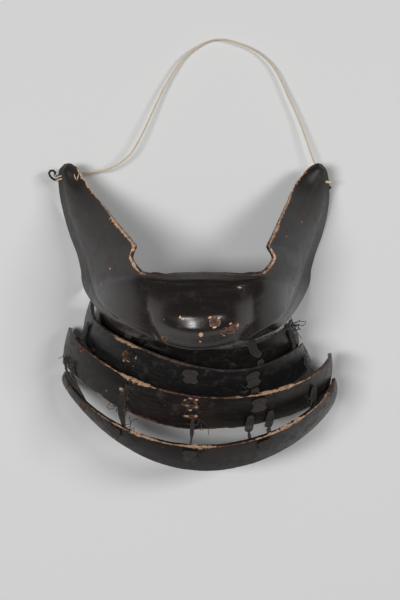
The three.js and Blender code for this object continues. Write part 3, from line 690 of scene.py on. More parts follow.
# %% [markdown]
# ## Worn lacquer
# The lacquer is a dark brown to black gloss film over a tan ground. It is built from the inside out: the
# colour and gloss of sound lacquer, then a value in millimetres that says how far a point lies inside a
# bare place, from the edges' wear and from the chips. One value drives colour, gloss and relief together,
# so they can't drift apart as they would in three separate masks.

# %% Colours, bare edges and ground
TAN = (0.37, 0.195, 0.11)
PALE_TAN = (0.66, 0.48, 0.33)
RED_BROWN = (0.135, 0.062, 0.040)
RIM_BROWN = (0.020, 0.009, 0.006)
# Near-black painted shade for the inside of the holes
PAINTED_HOLE_SHADE = (0.004, 0.0035, 0.003)
DUST_GREY = (0.085, 0.074, 0.066)
SCUFF_BROWN = (0.062, 0.041, 0.032)
LACQUER_RELIEF = 0.25
print("tan is", round(TAN[0] / RED_BROWN[0], 1), "times as bright as red-brown")


def bare_edges(recipe, grain):
    """How far inside the worn edges a point is, in millimetres."""
    gaps = recipe.step(recipe.noise(75, 2, 0.5), 0.38, 0.6, 0.35, 1.15)
    ragged = recipe.times(recipe.step(grain, 0.28, 0.72, 0.25, 1.55), gaps)
    inside = None
    for side in ("front", "back"):
        width = recipe.times(recipe.number("wear_" + side), ragged)
        bare = recipe.math("SUBTRACT", width, recipe.number("from_" + side))
        inside = bare if inside is None else recipe.larger(inside, bare)
    return inside


def sound_lacquer(recipe, patterns, dark, warm, warmth, scuffing):
    """The colour where the lacquer holds: clouds, brush marks, scuffs and dust."""
    colour = recipe.blend(recipe.step(patterns["cloud"], 0.62 - warmth, 0.98 - warmth), dark, warm)
    colour = recipe.blend(recipe.times(recipe.step(patterns["brushed"], 0.48, 0.68), 0.6), colour, warm)
    scuffed = recipe.times(recipe.step(patterns["scuff"], 0.54, 0.72), scuffing)
    colour = recipe.blend(scuffed, colour, SCUFF_BROWN)
    return recipe.blend(recipe.times(recipe.step(patterns["dust"], 0.64, 0.78), 0.4), colour, DUST_GREY)


def bare_ground(recipe, dust, back_paleness):
    """The colour under the lacquer: wide bare edges are tan, narrow ones stay red-brown."""
    nearer = recipe.math("LESS_THAN", recipe.number("from_front"), recipe.number("from_back"))
    front_paleness = recipe.step(recipe.number("wear_front"), 0.25, 1.2)
    paleness = recipe.add("ShaderNodeMix", {0: nearer, 2: back_paleness, 3: front_paleness}).outputs[0]
    threads = recipe.noise(1, 3, 0.6, vector=recipe.along_piece(60, 3.5))
    patchy = recipe.times(recipe.plus(recipe.noise(520, 3, 0.6), threads), 0.5)
    patchy = recipe.plus(patchy, recipe.times(paleness, 0.22))
    colour = recipe.blend(recipe.step(patchy, 0.55, 0.68), RED_BROWN, TAN)
    specks = recipe.times(recipe.step(dust, 0.46, 0.58), recipe.step(patchy, 0.62, 0.72))
    return recipe.blend(specks, colour, PALE_TAN)


# %% Chips in the lacquer
def add_chips(recipe, name, dust, ground, inside):
    """The ground's colour with the piece's chips, and how far inside any bare place a point is."""
    chip_edge = recipe.step(recipe.noise(300, 2, 0.5), 0.3, 0.7, 0.8, 1.2)
    shallow = patches(recipe, name, SHALLOW_CHIPS[name], chip_edge)
    if shallow is not None:
        mottle = recipe.noise(620, 3, 0.6)
        mottled = recipe.blend(recipe.step(mottle, 0.4, 0.62), RIM_BROWN, RED_BROWN)
        at_rim = recipe.times(recipe.step(shallow, 0.75, 0.1), recipe.step(mottle, 0.42, 0.56))
        mottled = recipe.blend(at_rim, mottled, TAN)
        mottled = recipe.blend(recipe.step(dust, 0.6, 0.7), mottled, TAN)
        ground = recipe.blend(recipe.math("GREATER_THAN", shallow, inside), ground, mottled)
        inside = recipe.larger(inside, recipe.times(shallow, 0.6))
    deep = patches(recipe, name, DEEP_CHIPS[name], chip_edge)
    if deep is not None:
        pale = recipe.blend(recipe.step(dust, 0.4, 0.6), TAN, PALE_TAN)
        ground = recipe.blend(recipe.step(deep, -0.1, 0.1), ground, pale)
        inside = recipe.larger(inside, deep)
    return ground, inside


def lacquer_roughness(recipe, patterns, bare, scuffing, gloss_from_chin):
    """Low on the polished chin, high on the lip, on scuffs and on bare ground."""
    roughness = recipe.step(patterns["cloud"], 0.3, 0.7, 0.30, 0.38)
    if gloss_from_chin:
        aside = recipe.math("ABSOLUTE", recipe.number("along"))
        roughness = recipe.plus(roughness, recipe.step(aside, 0.2, 0.36, -0.12, 0.08))
        lip = recipe.times(recipe.step(recipe.number("from_front"), 6.5, 4.5), recipe.step(aside, 0.3, 0.22))
        roughness = recipe.plus(roughness, recipe.times(lip, 0.52))
    roughness = recipe.plus(roughness, recipe.step(patterns["brushed"], 0.45, 0.7, 0.0, 0.07))
    scuffed = recipe.times(recipe.step(patterns["scuff"], 0.45, 0.7), 0.5 * scuffing)
    return recipe.plus(recipe.plus(roughness, scuffed), recipe.times(bare, 0.45))


# %% Lacquer finishes
def lacquer_finish(name, dark, warm, warmth, back_paleness, brush_scale=(7, 0.75), scuffing=0.6,
                   gloss_from_chin=False):
    recipe = Recipe("lacquer_" + name)
    grain = recipe.noise(430, 4, 0.6)
    patterns = {"cloud": recipe.noise(24, 3, 0.5), "dust": recipe.noise(1700, 3, 0.6),
                "brushed": recipe.noise(1, 5, 0.65, vector=recipe.along_piece(*brush_scale)),
                "scuff": recipe.noise(190, 5, 0.7, distortion=0.6)}
    sound = sound_lacquer(recipe, patterns, dark, warm, warmth, scuffing)
    ground = bare_ground(recipe, patterns["dust"], back_paleness)
    ground, inside = add_chips(recipe, name, patterns["dust"], ground, bare_edges(recipe, grain))
    bare = recipe.step(inside, 0.0, 0.25)
    colour = recipe.blend(bare, recipe.blend(recipe.step(inside, -0.4, 0.0), sound, RIM_BROWN), ground)
    relief = recipe.times(bare, -0.8)
    holes = patches(recipe, name, HOLES[name], 1.0)
    if holes is not None:
        # Each hole is pressed in as a pit, and its inside is painted near-black: painted shade in the pit
        pit_and_shade = recipe.step(holes, -0.05, 0.25)
        colour = recipe.blend(pit_and_shade, colour, PAINTED_HOLE_SHADE)
        relief = recipe.math("SUBTRACT", relief, recipe.times(pit_and_shade, 3.0))
    relief = recipe.plus(relief, recipe.times(recipe.noise(45, 1, 0.5), 0.35))
    relief = recipe.plus(relief, recipe.times(recipe.times(grain, bare), 0.8))
    relief = recipe.plus(relief, recipe.times(patterns["scuff"], 0.6 * scuffing))
    roughness = lacquer_roughness(recipe, patterns, bare, scuffing, gloss_from_chin)
    return recipe.finish(colour, roughness, relief, LACQUER_RELIEF * MM,
                         Specular_IOR_Level=0.5 if gloss_from_chin else 0.38)


BLACK, BROWN = (0.0090, 0.0074, 0.0070), (0.0300, 0.0205, 0.0165)
FINISHES = {
    "mask_shell": lacquer_finish("mask_shell", (0.0105, 0.0085, 0.0078), BROWN, 0.14, 0.95,
                                 brush_scale=(2.5, 0.12), scuffing=0.25, gloss_from_chin=True),
    "lame_1": lacquer_finish("lame_1", BLACK, BROWN, 0.04, 0.1),
    "lame_2": lacquer_finish("lame_2", (0.0085, 0.0085, 0.0095), BROWN, 0.04, 0.1),
    "lame_3": lacquer_finish("lame_3", BLACK, (0.038, 0.023, 0.017), 0.14, 0.0),
    "lame_4": lacquer_finish("lame_4", BLACK, (0.036, 0.026, 0.021), 0.14, 0.2),
}
for name, piece in {"mask_shell": shell, **lames}.items():
    piece.data.materials.clear()
    piece.data.materials.append(FINISHES[name])
    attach(piece, "root")
    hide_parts(name)
print("finishes", sorted(FINISHES))

# %% [markdown]
# ## Braid and twine by Geometry Nodes
# The lacing is flat braid and the string is two-ply twine. Both are strands that swing about a middle line,
# so one node tree makes both: it copies the line once for each strand, moves each copy sideways and off the
# surface by two waves, and turns it into a thin tube. A braid's second wave runs twice as fast; a twist's
# two waves are equal, a quarter turn apart. Each point of the line carries its direction off the surface.
# Taper draws the strands together at both ends, and Rough moves each of them by its own fixed noise.

# %% Strand tree
STRAND_INPUTS = [("Strands", "Int"), ("Lanes", "Int"), ("Lane Spacing", "Float"), ("Swing", "Float"),
                 ("Lift", "Float"), ("Pitch", "Float"), ("Times", "Float"), ("Start", "Float"),
                 ("Radius", "Float"), ("Sides", "Int"), ("Taper", "Float"), ("Rough", "Float"),
                 ("Material", "Material")]


def strand_tree():
    tree = bpy.data.node_groups.new("strands", "GeometryNodeTree")
    tree.interface.new_socket("Geometry", in_out="INPUT", socket_type="NodeSocketGeometry")
    for name, kind in STRAND_INPUTS:
        tree.interface.new_socket(name, in_out="INPUT", socket_type="NodeSocket" + kind)
    tree.interface.new_socket("Geometry", in_out="OUTPUT", socket_type="NodeSocketGeometry")
    source = tree.nodes.new("NodeGroupInput").outputs
    sink = tree.nodes.new("NodeGroupOutput")

    def add(kind, inputs=None, **settings):
        return add_node(tree, kind, inputs, **settings)

    def math_of(operation, first, second=0.0):
        return add("ShaderNodeMath", {0: first, 1: second}, operation=operation).outputs[0]

    def scaled(vector, share):
        return add("ShaderNodeVectorMath", {0: vector, "Scale": share}, operation="SCALE").outputs["Vector"]

    def summed(first, second):
        return add("ShaderNodeVectorMath", {0: first, 1: second}, operation="ADD").outputs["Vector"]

    line = add("GeometryNodeMeshToCurve", {"Mesh": source["Geometry"]}).outputs["Curve"]
    total = math_of("MULTIPLY", source["Strands"], source["Lanes"])
    copies = add("GeometryNodeDuplicateElements", {"Geometry": line, "Amount": total}, domain="SPLINE")
    index = copies.outputs["Duplicate Index"]
    lane = math_of("FLOOR", math_of("DIVIDE", index, source["Strands"]))
    phase = math_of("DIVIDE", math_of("MULTIPLY", index, math.tau), source["Strands"])
    reach = add("GeometryNodeSplineParameter").outputs["Length"]
    turned = math_of("ADD", math_of("DIVIDE", math_of("MULTIPLY", reach, math.tau), source["Pitch"]), phase)
    middle = math_of("DIVIDE", math_of("SUBTRACT", source["Lanes"], 1.0), 2.0)
    aside = math_of("MULTIPLY", math_of("SUBTRACT", lane, middle), source["Lane Spacing"])
    aside = math_of("ADD", aside, math_of("MULTIPLY", math_of("SINE", turned), source["Swing"]))
    share = math_of("MULTIPLY", add("GeometryNodeSplineParameter").outputs["Factor"], math.pi)
    narrow = math_of("SUBTRACT", 1.0, math_of("POWER", math_of("SINE", share), 0.6))
    aside = math_of("MULTIPLY", aside, math_of("SUBTRACT", 1.0, math_of("MULTIPLY", narrow, source["Taper"])))
    second = math_of("SINE", math_of("ADD", math_of("MULTIPLY", turned, source["Times"]), source["Start"]))
    lift = math_of("MULTIPLY", second, source["Lift"])
    off = add("GeometryNodeInputNamedAttribute", {"Name": "off"},
              data_type="FLOAT_VECTOR").outputs["Attribute"]
    tangent = add("GeometryNodeInputTangent").outputs["Tangent"]
    sideways = add("ShaderNodeVectorMath", {0: tangent, 1: off}, operation="CROSS_PRODUCT").outputs["Vector"]
    stray = add("ShaderNodeTexNoise", {"W": math_of("MULTIPLY", index, 3.7), "Scale": 420.0, "Detail": 1.0},
                noise_dimensions="4D").outputs["Color"]
    stray = add("ShaderNodeVectorMath", {0: stray, 1: (0.5, 0.5, 0.5)},
                operation="SUBTRACT").outputs["Vector"]
    offset = summed(summed(scaled(sideways, aside), scaled(off, lift)), scaled(stray, source["Rough"]))
    moved = add("GeometryNodeSetPosition", {"Geometry": copies.outputs["Geometry"], "Offset": offset})
    ring = add("GeometryNodeCurvePrimitiveCircle",
               {"Resolution": source["Sides"], "Radius": source["Radius"]})
    tube = add("GeometryNodeCurveToMesh", {"Curve": moved.outputs["Geometry"],
                                           "Profile Curve": ring.outputs["Curve"], "Fill Caps": True})
    real = add("GeometryNodeRealizeInstances", {"Geometry": tube.outputs["Mesh"]})
    smooth = add("GeometryNodeSetShadeSmooth", {"Geometry": real.outputs["Geometry"]})
    painted = add("GeometryNodeSetMaterial", {"Geometry": smooth.outputs["Geometry"],
                                              "Material": source["Material"]})
    tree.links.new(painted.outputs["Geometry"], sink.inputs["Geometry"])
    return tree


STRANDS = strand_tree()
SOCKETS = {item.name: item.identifier for item in STRANDS.interface.items_tree if item.in_out == "INPUT"}
print("strand tree", len(STRANDS.nodes), "nodes, inputs", sorted(SOCKETS))


# %% Pieces of strands
def strand_piece(name, lines, material, **inputs):
    """A piece of strands about one or more middle lines; each line is a list of (point, off) in metres."""
    points, edges, offs = [], [], []
    for line in lines:
        start = len(points)
        points += [tuple(point) for point, off in line]
        offs += [tuple(off) for point, off in line]
        edges += [(start + step, start + step + 1) for step in range(len(line) - 1)]
    mesh = bpy.data.meshes.new(name)
    mesh.from_pydata(points, edges, [])
    attribute = mesh.attributes.new("off", "FLOAT_VECTOR", "POINT")
    attribute.data.foreach_set("vector", np.array(offs, np.float32).ravel())
    piece = bpy.data.objects.new(name, mesh)
    bpy.context.scene.collection.objects.link(piece)
    modifier = piece.modifiers.new("strands", "NODES")
    modifier.node_group = STRANDS
    modifier[SOCKETS["Material"]] = material
    for key, value in inputs.items():
        modifier[SOCKETS[key.replace("_", " ").title()]] = value
    apply_modifiers(piece)
    return piece


BRAID = {"strands": 3, "times": 2.0, "start": 0.0, "sides": 6}
TWIST_LANES = {"strands": 2, "times": 1.0, "start": math.pi / 2, "sides": 6}
TWIST = {**TWIST_LANES, "lanes": 1, "lane_spacing": 0.0, "sides": 8}
print("a braid has", BRAID["strands"], "strands and the twine has", TWIST["strands"])

# %% [markdown]
# ## Cord finishes
# Old silk braid has gone dull brown-black, with lighter broken fibres. The twine is pale hemp. Single fibres
# are too fine for geometry, so both have a fibre pattern in their bump and a sheen, because fibres catch
# light at a grazing angle.

# %% Lacing and twine recipes
def fibre_finish(name, dark, light, fibre_scale, sheen):
    recipe = Recipe(name)
    fibres = recipe.noise(fibre_scale, 3, 0.7)
    patch = recipe.noise(160, 3, 0.5)
    colour = recipe.blend(recipe.step(fibres, 0.35, 0.75), dark, light)
    colour = recipe.blend(recipe.times(recipe.step(patch, 0.5, 0.8), 0.6), colour, dark)
    return recipe.finish(colour, recipe.step(fibres, 0.2, 0.8, 0.75, 0.95), fibres, 0.12 * MM,
                         Sheen_Weight=sheen, Sheen_Roughness=0.5)


LACING = fibre_finish("lacing", (0.0080, 0.0060, 0.0050), (0.068, 0.049, 0.038), 2000, 0.16)
LOOSE_THREAD = fibre_finish("loose_thread", (0.010, 0.009, 0.008), (0.05, 0.042, 0.035), 2600, 0.15)
PALE_THREAD = fibre_finish("pale_thread", (0.12, 0.12, 0.125), (0.34, 0.34, 0.35), 2600, 0.15)
TWINE = fibre_finish("twine", (0.60, 0.47, 0.30), (0.93, 0.82, 0.62), 1800, 0.2)
print("fibre finishes", [finish.name for finish in (LACING, LOOSE_THREAD, PALE_THREAD, TWINE)])

# %% [markdown]
# ## Lacing between the pieces
# Every flat lace lies on one piece and tucks behind the next. Its seats say on or behind which piece it
# passes, and where: the place along the piece, then places across it. Curves drawn by hand would need
# mending whenever a lame moves; seats move with the lame.

# %% Lace table
WIDE_LACE, THIN_LACE, SINGLE_LACE, PAD = 5.5, 3.3, 2.75, 8.0
LACE_THICKNESS, SEAT_GAP = 1.5, 0.45
OUTER, INNER = 1, -1


def on(piece, along, *across):
    return [(piece, OUTER, along, place) for place in across]


def behind(piece, along, *across):
    return [(piece, INNER, along, place) for place in across]


LACES = {
    "lace_jaw_1_left": (WIDE_LACE, behind("mask_shell", -0.10, 0.97) + on("lame_1", -0.46, 0.12, 0.4)),
    "lace_jaw_1_right": (WIDE_LACE, behind("mask_shell", 0.07, 1.05) + on("lame_1", 0.37, 0.15)
                         + on("lame_1", 0.41, 0.42)),
    "lace_1_2_left": (WIDE_LACE, on("lame_1", -0.42, 0.52, 0.75) + behind("lame_2", -0.38, 0.2)),
    "lace_1_2_right": (WIDE_LACE, on("lame_1", 0.40, 0.57, 0.8) + behind("lame_2", 0.38, 0.2)),
    "lace_1_2_far_right": (WIDE_LACE, on("lame_1", 0.74, 0.15) + on("lame_1", 0.75, 0.6)
                           + behind("lame_2", 0.74, 0.25)),
    "lace_2_3_left": (WIDE_LACE, on("lame_2", -0.82, 0.25, 0.6) + behind("lame_3", -0.80, 0.2)),
    "lace_2_3_right": (WIDE_LACE, on("lame_2", 0.32, 0.62, 0.85) + behind("lame_3", 0.29, 0.18)),
    "lace_2_3_far_right": (WIDE_LACE, on("lame_2", 0.78, 0.4) + on("lame_2", 0.76, 0.7)
                           + behind("lame_3", 0.70, 0.25)),
    "lace_3_4_far_left": (THIN_LACE, on("lame_3", -0.82, 0.72) + on("lame_3", -0.75, 1.08)
                          + behind("lame_4", -0.73, -0.5) + behind("lame_4", -0.69, 0.5)),
    "lace_3_4_near_left": (THIN_LACE, on("lame_3", -0.72, 0.6) + on("lame_3", -0.68, 1.08)
                           + behind("lame_4", -0.66, -0.5) + behind("lame_4", -0.62, 0.5)),
    "lace_3_4_left": (WIDE_LACE, on("lame_3", -0.35, 0.45, 0.8, 1.1) + behind("lame_4", -0.37, 0.2)),
    "lace_3_4_middle": (SINGLE_LACE, on("lame_3", -0.02, 0.65, 0.88, 1.1) + behind("lame_4", -0.04, 0.2)),
    "lace_3_4_right_a": (WIDE_LACE, on("lame_3", 0.24, 0.6, 0.85, 1.1) + behind("lame_4", 0.24, 0.2)),
    "lace_3_4_right_b": (WIDE_LACE, on("lame_3", 0.34, 0.57, 0.85, 1.1) + behind("lame_4", 0.34, 0.2)),
    "lace_3_4_far_right": (WIDE_LACE, on("lame_3", 0.61, 0.3, 0.7) + behind("lame_4", 0.60, 0.25)),
}
PADS = {
    "pad_2_middle": on("lame_2", -0.03, 0.1, 0.3, 0.5), "pad_2_right": on("lame_2", 0.32, 0.12, 0.33, 0.55),
    "pad_3_right": on("lame_3", 0.28, 0.1, 0.3, 0.5), "pad_4_left": on("lame_4", -0.40, 0.12, 0.3, 0.5),
    "pad_4_middle": on("lame_4", -0.04, 0.15, 0.35, 0.55), "pad_4_right": on("lame_4", 0.30, 0.12, 0.3, 0.5),
}
print("laces", len(LACES), "pads", len(PADS))


# %% Lines over the seats
def seat_frame(name, side, along, across):
    face, wall = FACES[name]
    u, v = np.array([float(along)]), np.array([float(across)])
    normal = outward(face, u, v)[0]
    lift = SEAT_GAP + LACE_THICKNESS / 2
    place = face(u, v)[0] + normal * (lift if side == OUTER else -wall - lift) + SHIFT
    return Vector(place * MM), Vector(normal)


def smooth_path(points, per_stretch):
    """Points on a Catmull-Rom curve through the given ones."""
    points = [np.array(point, float) for point in points]
    ends = [2 * points[0] - points[1], *points, 2 * points[-1] - points[-2]]
    path = []
    for a, b, c, d in zip(ends, ends[1:], ends[2:], ends[3:]):
        for share in np.arange(per_stretch) / per_stretch:
            path.append(0.5 * (2 * b + (c - a) * share + (2 * a - 5 * b + 4 * c - d) * share ** 2
                               + (3 * b - a - 3 * c + d) * share ** 3))
    return [Vector(point) for point in path] + [Vector(points[-1])]


def lace_line(seats, per_stretch=10):
    frames = [seat_frame(*seat) for seat in seats]
    places = smooth_path([place for place, off in frames], per_stretch)
    offs = smooth_path([off for place, off in frames], per_stretch)
    return [(place, off.normalized()) for place, off in zip(places, offs)]


print("points on a lace", len(lace_line(LACES["lace_1_2_left"][1])))

# %% Braided laces
LACE_STRAND, LANE_WIDTH, RIB_WIDTH = 0.34, 1.5, 1.15
# Worn loops, most at the lower edge of the third lame, lie as ribs side by side and swell in the middle
RIBBED = ("lace_3_4_left", "lace_3_4_right_a", "lace_3_4_right_b", "lace_3_4_far_right", "lace_jaw_1_right",
          "lace_3_4_far_left", "lace_3_4_near_left")
braids = []
for name, (width, seats) in LACES.items():
    lanes = round(width / (RIB_WIDTH if name in RIBBED else LANE_WIDTH))
    lane = (width - 2 * LACE_STRAND) / lanes
    if name in RIBBED:
        line = lace_line([seat for seat in seats if seat[-1] > 0])
        piece = strand_piece(name + "_ribs", [line], LACING, **TWIST_LANES, lanes=lanes, swing=0.22 * MM,
                             lane_spacing=1.04 * lane * MM, lift=0.2 * MM, pitch=2.6 * MM, radius=0.31 * MM,
                             taper=0.6, rough=0.25 * MM)
    else:
        piece = strand_piece(name + "_braid", [lace_line(seats)], LACING, **BRAID, lanes=lanes,
                             lane_spacing=lane * MM, swing=lane / 2.4 * MM, lift=0.22 * MM, pitch=4.4 * MM,
                             radius=LACE_STRAND * MM, taper=0.4, rough=0.7 * MM)
    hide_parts(name)
    braids.append(piece)
print("laces with braid or ribs", len(braids))

# %% [markdown]
# ## Cross knots on the lames
# Where a lace passes through a band it lies on it as a flat knot of crossing braids, now matted and worn
# nearly flat. Fine braids run down the band and two groups cross over them from corner to corner. The same
# strand tree makes both, because a knot this flat shows its weave and not its turns.

# %% Lines of a cross knot
KNOT_STRAND = 0.3


def crossing_lines(seats, width):
    """Lines down the band, and lines from corner to corner that bow over them, with tucked ends."""
    down = lace_line(seats, 6)
    middle, off = down[len(down) // 2]
    along = (down[-1][0] - down[0][0]).normalized()
    sideways = along.cross(off).normalized()
    half = (down[-1][0] - down[0][0]).length / 2
    across = []
    for lean in (-1, 1):
        line = []
        for step in np.linspace(-1, 1, 15):
            rise = (0.75 * math.cos(step * math.pi / 2) - 0.35) * MM
            place = middle + along * (lean * step * half * 0.8) + sideways * (step * width * 0.42 * MM)
            line.append((place + off * rise, off))
        across.append(line)
    return down, across


# %% Crossing knots on the lames
for name, seats in PADS.items():
    down, across = crossing_lines(seats, PAD)
    weave = {"lift": 0.15 * MM, "pitch": 3.4 * MM, "radius": KNOT_STRAND * MM, "rough": 0.7 * MM}
    under = strand_piece(name + "_under", [[(place - off * 0.35 * MM, off) for place, off in down]], LACING,
                         **BRAID, **weave, lanes=5, lane_spacing=1.3 * MM, swing=0.6 * MM, taper=0.25)
    over = strand_piece(name + "_over", across, LACING, **BRAID, **weave, lanes=3, lane_spacing=1.15 * MM,
                        swing=0.55 * MM, taper=0.35)
    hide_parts(name)
    braids += [under, over]
print("braided pieces", len(braids), "faces", sum(len(piece.data.polygons) for piece in braids))

# %% [markdown]
# ## Loose threads
# Broken lacing frays into single threads. Each tuft is a table row: the piece it lies on, its pixel, how many
# threads, their length in millimetres, where they head (0 is right in the picture, 90 is down) and how far
# they spread. Hair particles would grow straight off the surface. Here a thread wanders in small steps,
# keeps to the surface beside it, and droops a little where it runs free past an edge.

# %% Frayed tufts
TUFTS = [
    ("lame_1", 296, 325, 12, 8.5, -6, 22), ("lame_1", 299, 331, 8, 4.5, 25, 40),
    ("lame_1", 287, 327, 12, 4, 215, 60), ("lame_1", 275, 333, 8, 3.5, 215, 60),
    ("lame_1", 152, 343, 9, 7, 100, 80), ("lame_1", 146, 338, 6, 6, 170, 60),
    ("lame_1", 242, 347, 8, 6, 150, 70), ("lame_2", 316, 357, 6, 5, -30, 80),
    ("lame_3", 128, 386, 14, 9, 60, 80), ("lame_3", 122, 398, 10, 10, 95, 35),
    ("lame_3", 124, 412, 10, 9, 80, 40), ("lame_4", 124, 430, 10, 11, 10, 60),
    ("lame_4", 118, 432, 6, 7, 130, 60), ("lame_3", 201, 420, 7, 9, 105, 40),
    ("lame_3", 188, 404, 8, 5, 60, 180), ("lame_3", 196, 410, 6, 5, 60, 180),
    ("lame_2", 188, 376, 6, 5, 120, 180), ("lame_3", 307, 366, 7, 5, 90, 180),
    ("lame_3", 309, 396, 7, 5, 90, 180), ("lame_4", 199, 452, 6, 5, 90, 180),
    ("lame_4", 192, 458, 6, 5, 20, 180), ("lame_3", 60, 366, 4, 6, 175, 30),
    ("lame_3", 68, 356, 6, 5, 100, 60), ("lame_2", 130, 354, 6, 4, 60, 180),
    ("lame_2", 248, 390, 6, 6, 170, 60),
]
PALE_TUFTS = [("lame_1", 253, 343, 16, 5, 190, 90), ("lame_3", 124, 404, 4, 4, 90, 90),
              ("lame_3", 60, 367, 2, 6, 180, 15)]
print("threads", sum(count for _, _, _, count, _, _, _ in TUFTS + PALE_TUFTS))

# %% A thread over the surface
THREAD_STEP, THREAD_GAP = 0.6, 0.3
DROOP = Vector((0, 0, 0.15 * MM))


def loose_thread(name, px, py, length, heading, chance):
    place, off = on_piece(name, px, py)
    place = place + off * THREAD_GAP * MM
    line = [(place, off)]
    for _ in range(int(length / THREAD_STEP)):
        heading += chance.normal(0, 0.28)
        ahead = Vector((math.cos(heading), -math.sin(heading), 0)) * THREAD_STEP * MM
        free = ahead.dot(off) > 0.5 * THREAD_STEP * MM
        place = place + ahead - (DROOP if free else off * ahead.dot(off))
        near, side, _, distance = TREES[name].find_nearest(place)
        if not free and distance < 1.0 * MM and side.dot(off) > 0.3:
            off = (off + side * 0.5).normalized()
            place = near + (place - near).normalized() * (THREAD_GAP + 0.25 * chance.random()) * MM
        place.z = max(place.z, THREAD_GAP * MM)
        line.append((place.copy(), off))
    return line


# %% Threads as pieces
def thread_piece(name, tufts, material, seed, radius):
    chance = np.random.default_rng(seed)
    lines = []
    for piece_name, px, py, count, length, heading, spread in tufts:
        for _ in range(count):
            spot = chance.normal(0, 1.3, 2)
            angle = math.radians(heading + chance.uniform(-spread, spread))
            lines.append(loose_thread(piece_name, px + spot[0], py + spot[1],
                                      length * chance.uniform(0.5, 1.1), angle, chance))
    piece = strand_piece(name, lines, material, strands=1, lanes=1, lane_spacing=0.0, swing=0.05 * MM,
                         times=1.0, start=1.57, lift=0.05 * MM, pitch=2.0 * MM, radius=radius * MM, sides=5,
                         rough=0.2 * MM)
    return piece


frays = [thread_piece("lacing_frays", TUFTS, LOOSE_THREAD, 7, 0.19),
         thread_piece("pale_fray", PALE_TUFTS, PALE_THREAD, 11, 0.13)]
for piece in braids + frays:
    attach(piece, "root")
print("frays", [len(piece.data.polygons) for piece in frays])

# %% [markdown]
# ## The twine
# A thin two-ply string springs from tip to tip in a flat arc just over the table. Its points repeat the
# route of the plain tube in the frame, and the strand tree twists two plies about it, so that the twist
# shows as real grooves.

# %% Twine
TWINE_POINTS = [
    (-75.9, 76.35, 8.93), (-69, 77.3, 8.3), (-62, 79, 9), (-50.5, 80.5, 10), (-39, 88, 9), (-32, 99, 8),
    (-23, 118.5, 6), (-18, 128.5, 5), (-9.5, 142, 4), (0, 150, 3), (10, 154, 3), (20, 152.5, 3), (33, 147, 3),
    (43, 137, 4), (51, 120.5, 5), (57.5, 105.5, 6), (64.5, 85.5, 8), (68, 79.2, 7.5), (71.2, 73.9, 7.7),
]
twine_path = smooth_path([np.array(point) * MM for point in TWINE_POINTS], 40)
twine = strand_piece("twine_cord", [[(point, Vector((0, 0, 1))) for point in twine_path]], TWINE, **TWIST,
                     swing=0.29 * MM, lift=0.29 * MM, pitch=3.0 * MM, radius=0.31 * MM)
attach(twine, "root")
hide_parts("twine")

# %% [markdown]
# ## Cord ends at the cheek tips
# The twine goes through a hole in each tip and round its back edge. On one side a stiff dark cord end curls
# beside it, on the other a tiny knot sits on it. A physics run could wrap them; a coil about the ring of
# the plain model is quicker and stays in its place.

# %% Lines round the tips
TIP_RING_RADIUS = 2.8


def tip_frame(along):
    """The middle of the ring through a tip's hole, with the directions to the edge, along it and off it."""
    at = np.array([along])
    flange = np.linalg.norm(shell_line(3, at) - shell_line(4, at))
    across = np.array([1 - (1 - FOLD_ACROSS) * TIP_HOLE_INSET / flange])
    centre = shell_point(at, across)[0]
    to_edge = shell_point(at, np.array([1.0]))[0] - centre
    to_edge /= np.linalg.norm(to_edge)
    along_edge = np.cross(to_edge, outward(shell_point, at, across)[0])
    along_edge /= np.linalg.norm(along_edge)
    off = np.cross(along_edge, to_edge)
    middle = centre - off * SHELL_WALL / 2 + to_edge * TIP_RING_RADIUS + SHIFT
    return Vector(middle * MM), Vector(to_edge), Vector(along_edge), Vector(off)


def wrap_line(along, turns, spread):
    """A coil of twine round the edge, in metres."""
    middle, to_edge, along_edge, off = tip_frame(along)
    line = []
    for angle in np.linspace(0, turns * math.tau, int(turns * 22)):
        out = to_edge * math.cos(angle) + off * math.sin(angle)
        aside = along_edge * (angle / (turns * math.tau) - 0.5) * spread * MM
        line.append((middle + out * (TIP_RING_RADIUS * MM) + aside, along_edge))
    return line


# %% Twine wraps
tip_pieces = []
for name, along, wound in zip(("left", "right"), TIP_HOLE_ALONG, ((2.2, 3.4), (1.6, 1.0))):
    wrap = strand_piece(name + "_tip_wrap", [wrap_line(along, *wound)], TWINE, **TWIST,
                        swing=0.22 * MM, lift=0.22 * MM, pitch=2.6 * MM, radius=0.26 * MM)
    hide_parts(name + "_tip_ring")
    tip_pieces.append(wrap)
# %% Curl and small knot
# The dark cord end curls out of the left hole: pixels of the photograph with heights in millimetres
CURL = [(60.5, 179.4, 8), (57.2, 180.2, 8.3), (53.6, 179.2, 8.7), (50.6, 176.6, 9.2), (49.2, 173.4, 9.6),
        (50.6, 170.9, 9.9), (53.4, 170.8, 9.8), (55.2, 172.8, 9.4), (55.0, 175.2, 9.0), (57.4, 176.6, 8.6)]
curl_points = [pixel_at_height(px, py, high * MM) for px, py, high in CURL]
curl = strand_piece("left_tip_curl", [[(point, Vector((0, 0, 1))) for point in smooth_path(curl_points, 10)]],
                    LOOSE_THREAD, **TWIST, swing=0.34 * MM, lift=0.34 * MM, pitch=3.0 * MM, radius=0.4 * MM)
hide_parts("left_tip_knot")
low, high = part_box("right_tip_knot")
centre = (low + high) / 2
knot_line = []
for angle in np.linspace(0, 2 * math.tau, 60):
    reach = 0.75 * MM + 0.3 * MM * math.cos(1.5 * angle)
    knot_line.append((centre + Vector((reach * math.cos(angle), reach * math.sin(angle),
                                       0.5 * MM * math.sin(1.5 * angle))), Vector((0, 0, 1))))
knot = strand_piece("right_tip_lump", [knot_line], LOOSE_THREAD, **TWIST, swing=0.15 * MM, lift=0.15 * MM,
                    pitch=2.0 * MM, radius=0.22 * MM)
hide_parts("right_tip_knot")
for piece in (curl, knot):
    tip_pieces.append(piece)
for piece in tip_pieces:
    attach(piece, "root")
print("tip pieces", [piece.name for piece in tip_pieces])

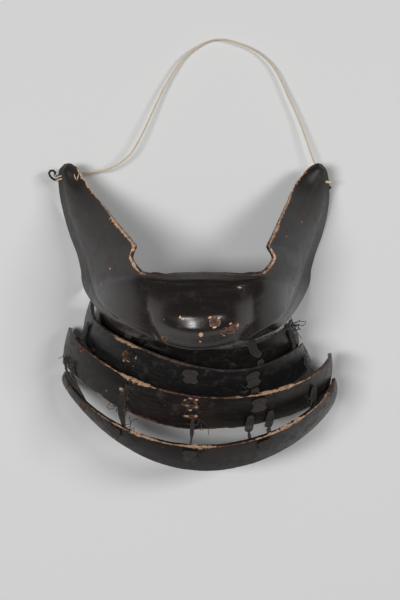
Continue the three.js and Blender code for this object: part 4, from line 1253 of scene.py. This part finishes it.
# %% [markdown]
# ## Studio
# A pale matt floor and large soft lights, as on a museum copy stand. The lacquer mirrors them, so their
# places decide where the chin and the cheeks shine. A picture of a room could light it too, but its windows
# would shine where that room has them. The surroundings are dim, or the gloss would go grey.

# %% Paper floor
FLOOR_SIZE = 6
bpy.ops.mesh.primitive_plane_add(size=FLOOR_SIZE)
floor = bpy.context.object
floor.name = "floor"
paper = bpy.data.materials.new("paper")
paper.use_nodes = True
paper.node_tree.nodes["Principled BSDF"].inputs["Base Color"].default_value = (0.8, 0.8, 0.8, 1)
paper.node_tree.nodes["Principled BSDF"].inputs["Roughness"].default_value = 0.9
floor.data.materials.append(paper)


# %% Lamps
def soft_light(name, place, width, height, watts, target=(0, 0, 0.04)):
    data = bpy.data.lights.new(name, "AREA")
    data.shape = "RECTANGLE"
    data.size, data.size_y, data.energy = width, height, watts
    lamp = bpy.data.objects.new(name, data)
    lamp.location = place
    lamp.rotation_euler = (Vector(target) - Vector(place)).to_track_quat("-Z", "Y").to_euler()
    bpy.context.scene.collection.objects.link(lamp)
    return lamp


# The chin's highlight shows at one pixel. A lamp stands where the chin mirrors it to the camera, and it
# lights the shell alone: the paper seen in the gap above the last lame is deep in shadow.
LAMP_DISTANCE = 1.5
place, normal = on_piece("mask_shell", *CHIN_HIGHLIGHT)
to_camera = (camera.location - place).normalized()
mirrored = 2 * normal.dot(to_camera) * normal - to_camera
chin_light = soft_light("chin_light", place + mirrored * LAMP_DISTANCE, 0.33, 0.26, 10.5, place)
lit_by_chin_light = bpy.data.collections.new("lit_by_chin_light")
lit_by_chin_light.objects.link(shell)
chin_light.light_linking.receiver_collection = lit_by_chin_light
soft_light("key_light", (-0.56, -0.02, 1.48), 0.3, 0.66, 12.6)
soft_light("fill_light", (0.9, 0.25, 1.33), 0.3, 0.66, 9.4)
print("chin light", [round(c, 2) for c in chin_light.location])
# %% World and view
world = bpy.data.worlds.new("studio")
world.use_nodes = True
world.node_tree.nodes["Background"].inputs["Color"].default_value = (0.8, 0.79, 0.78, 1)
world.node_tree.nodes["Background"].inputs["Strength"].default_value = 0.08
bpy.context.scene.world = world
bpy.context.scene.view_settings.view_transform = "Standard"
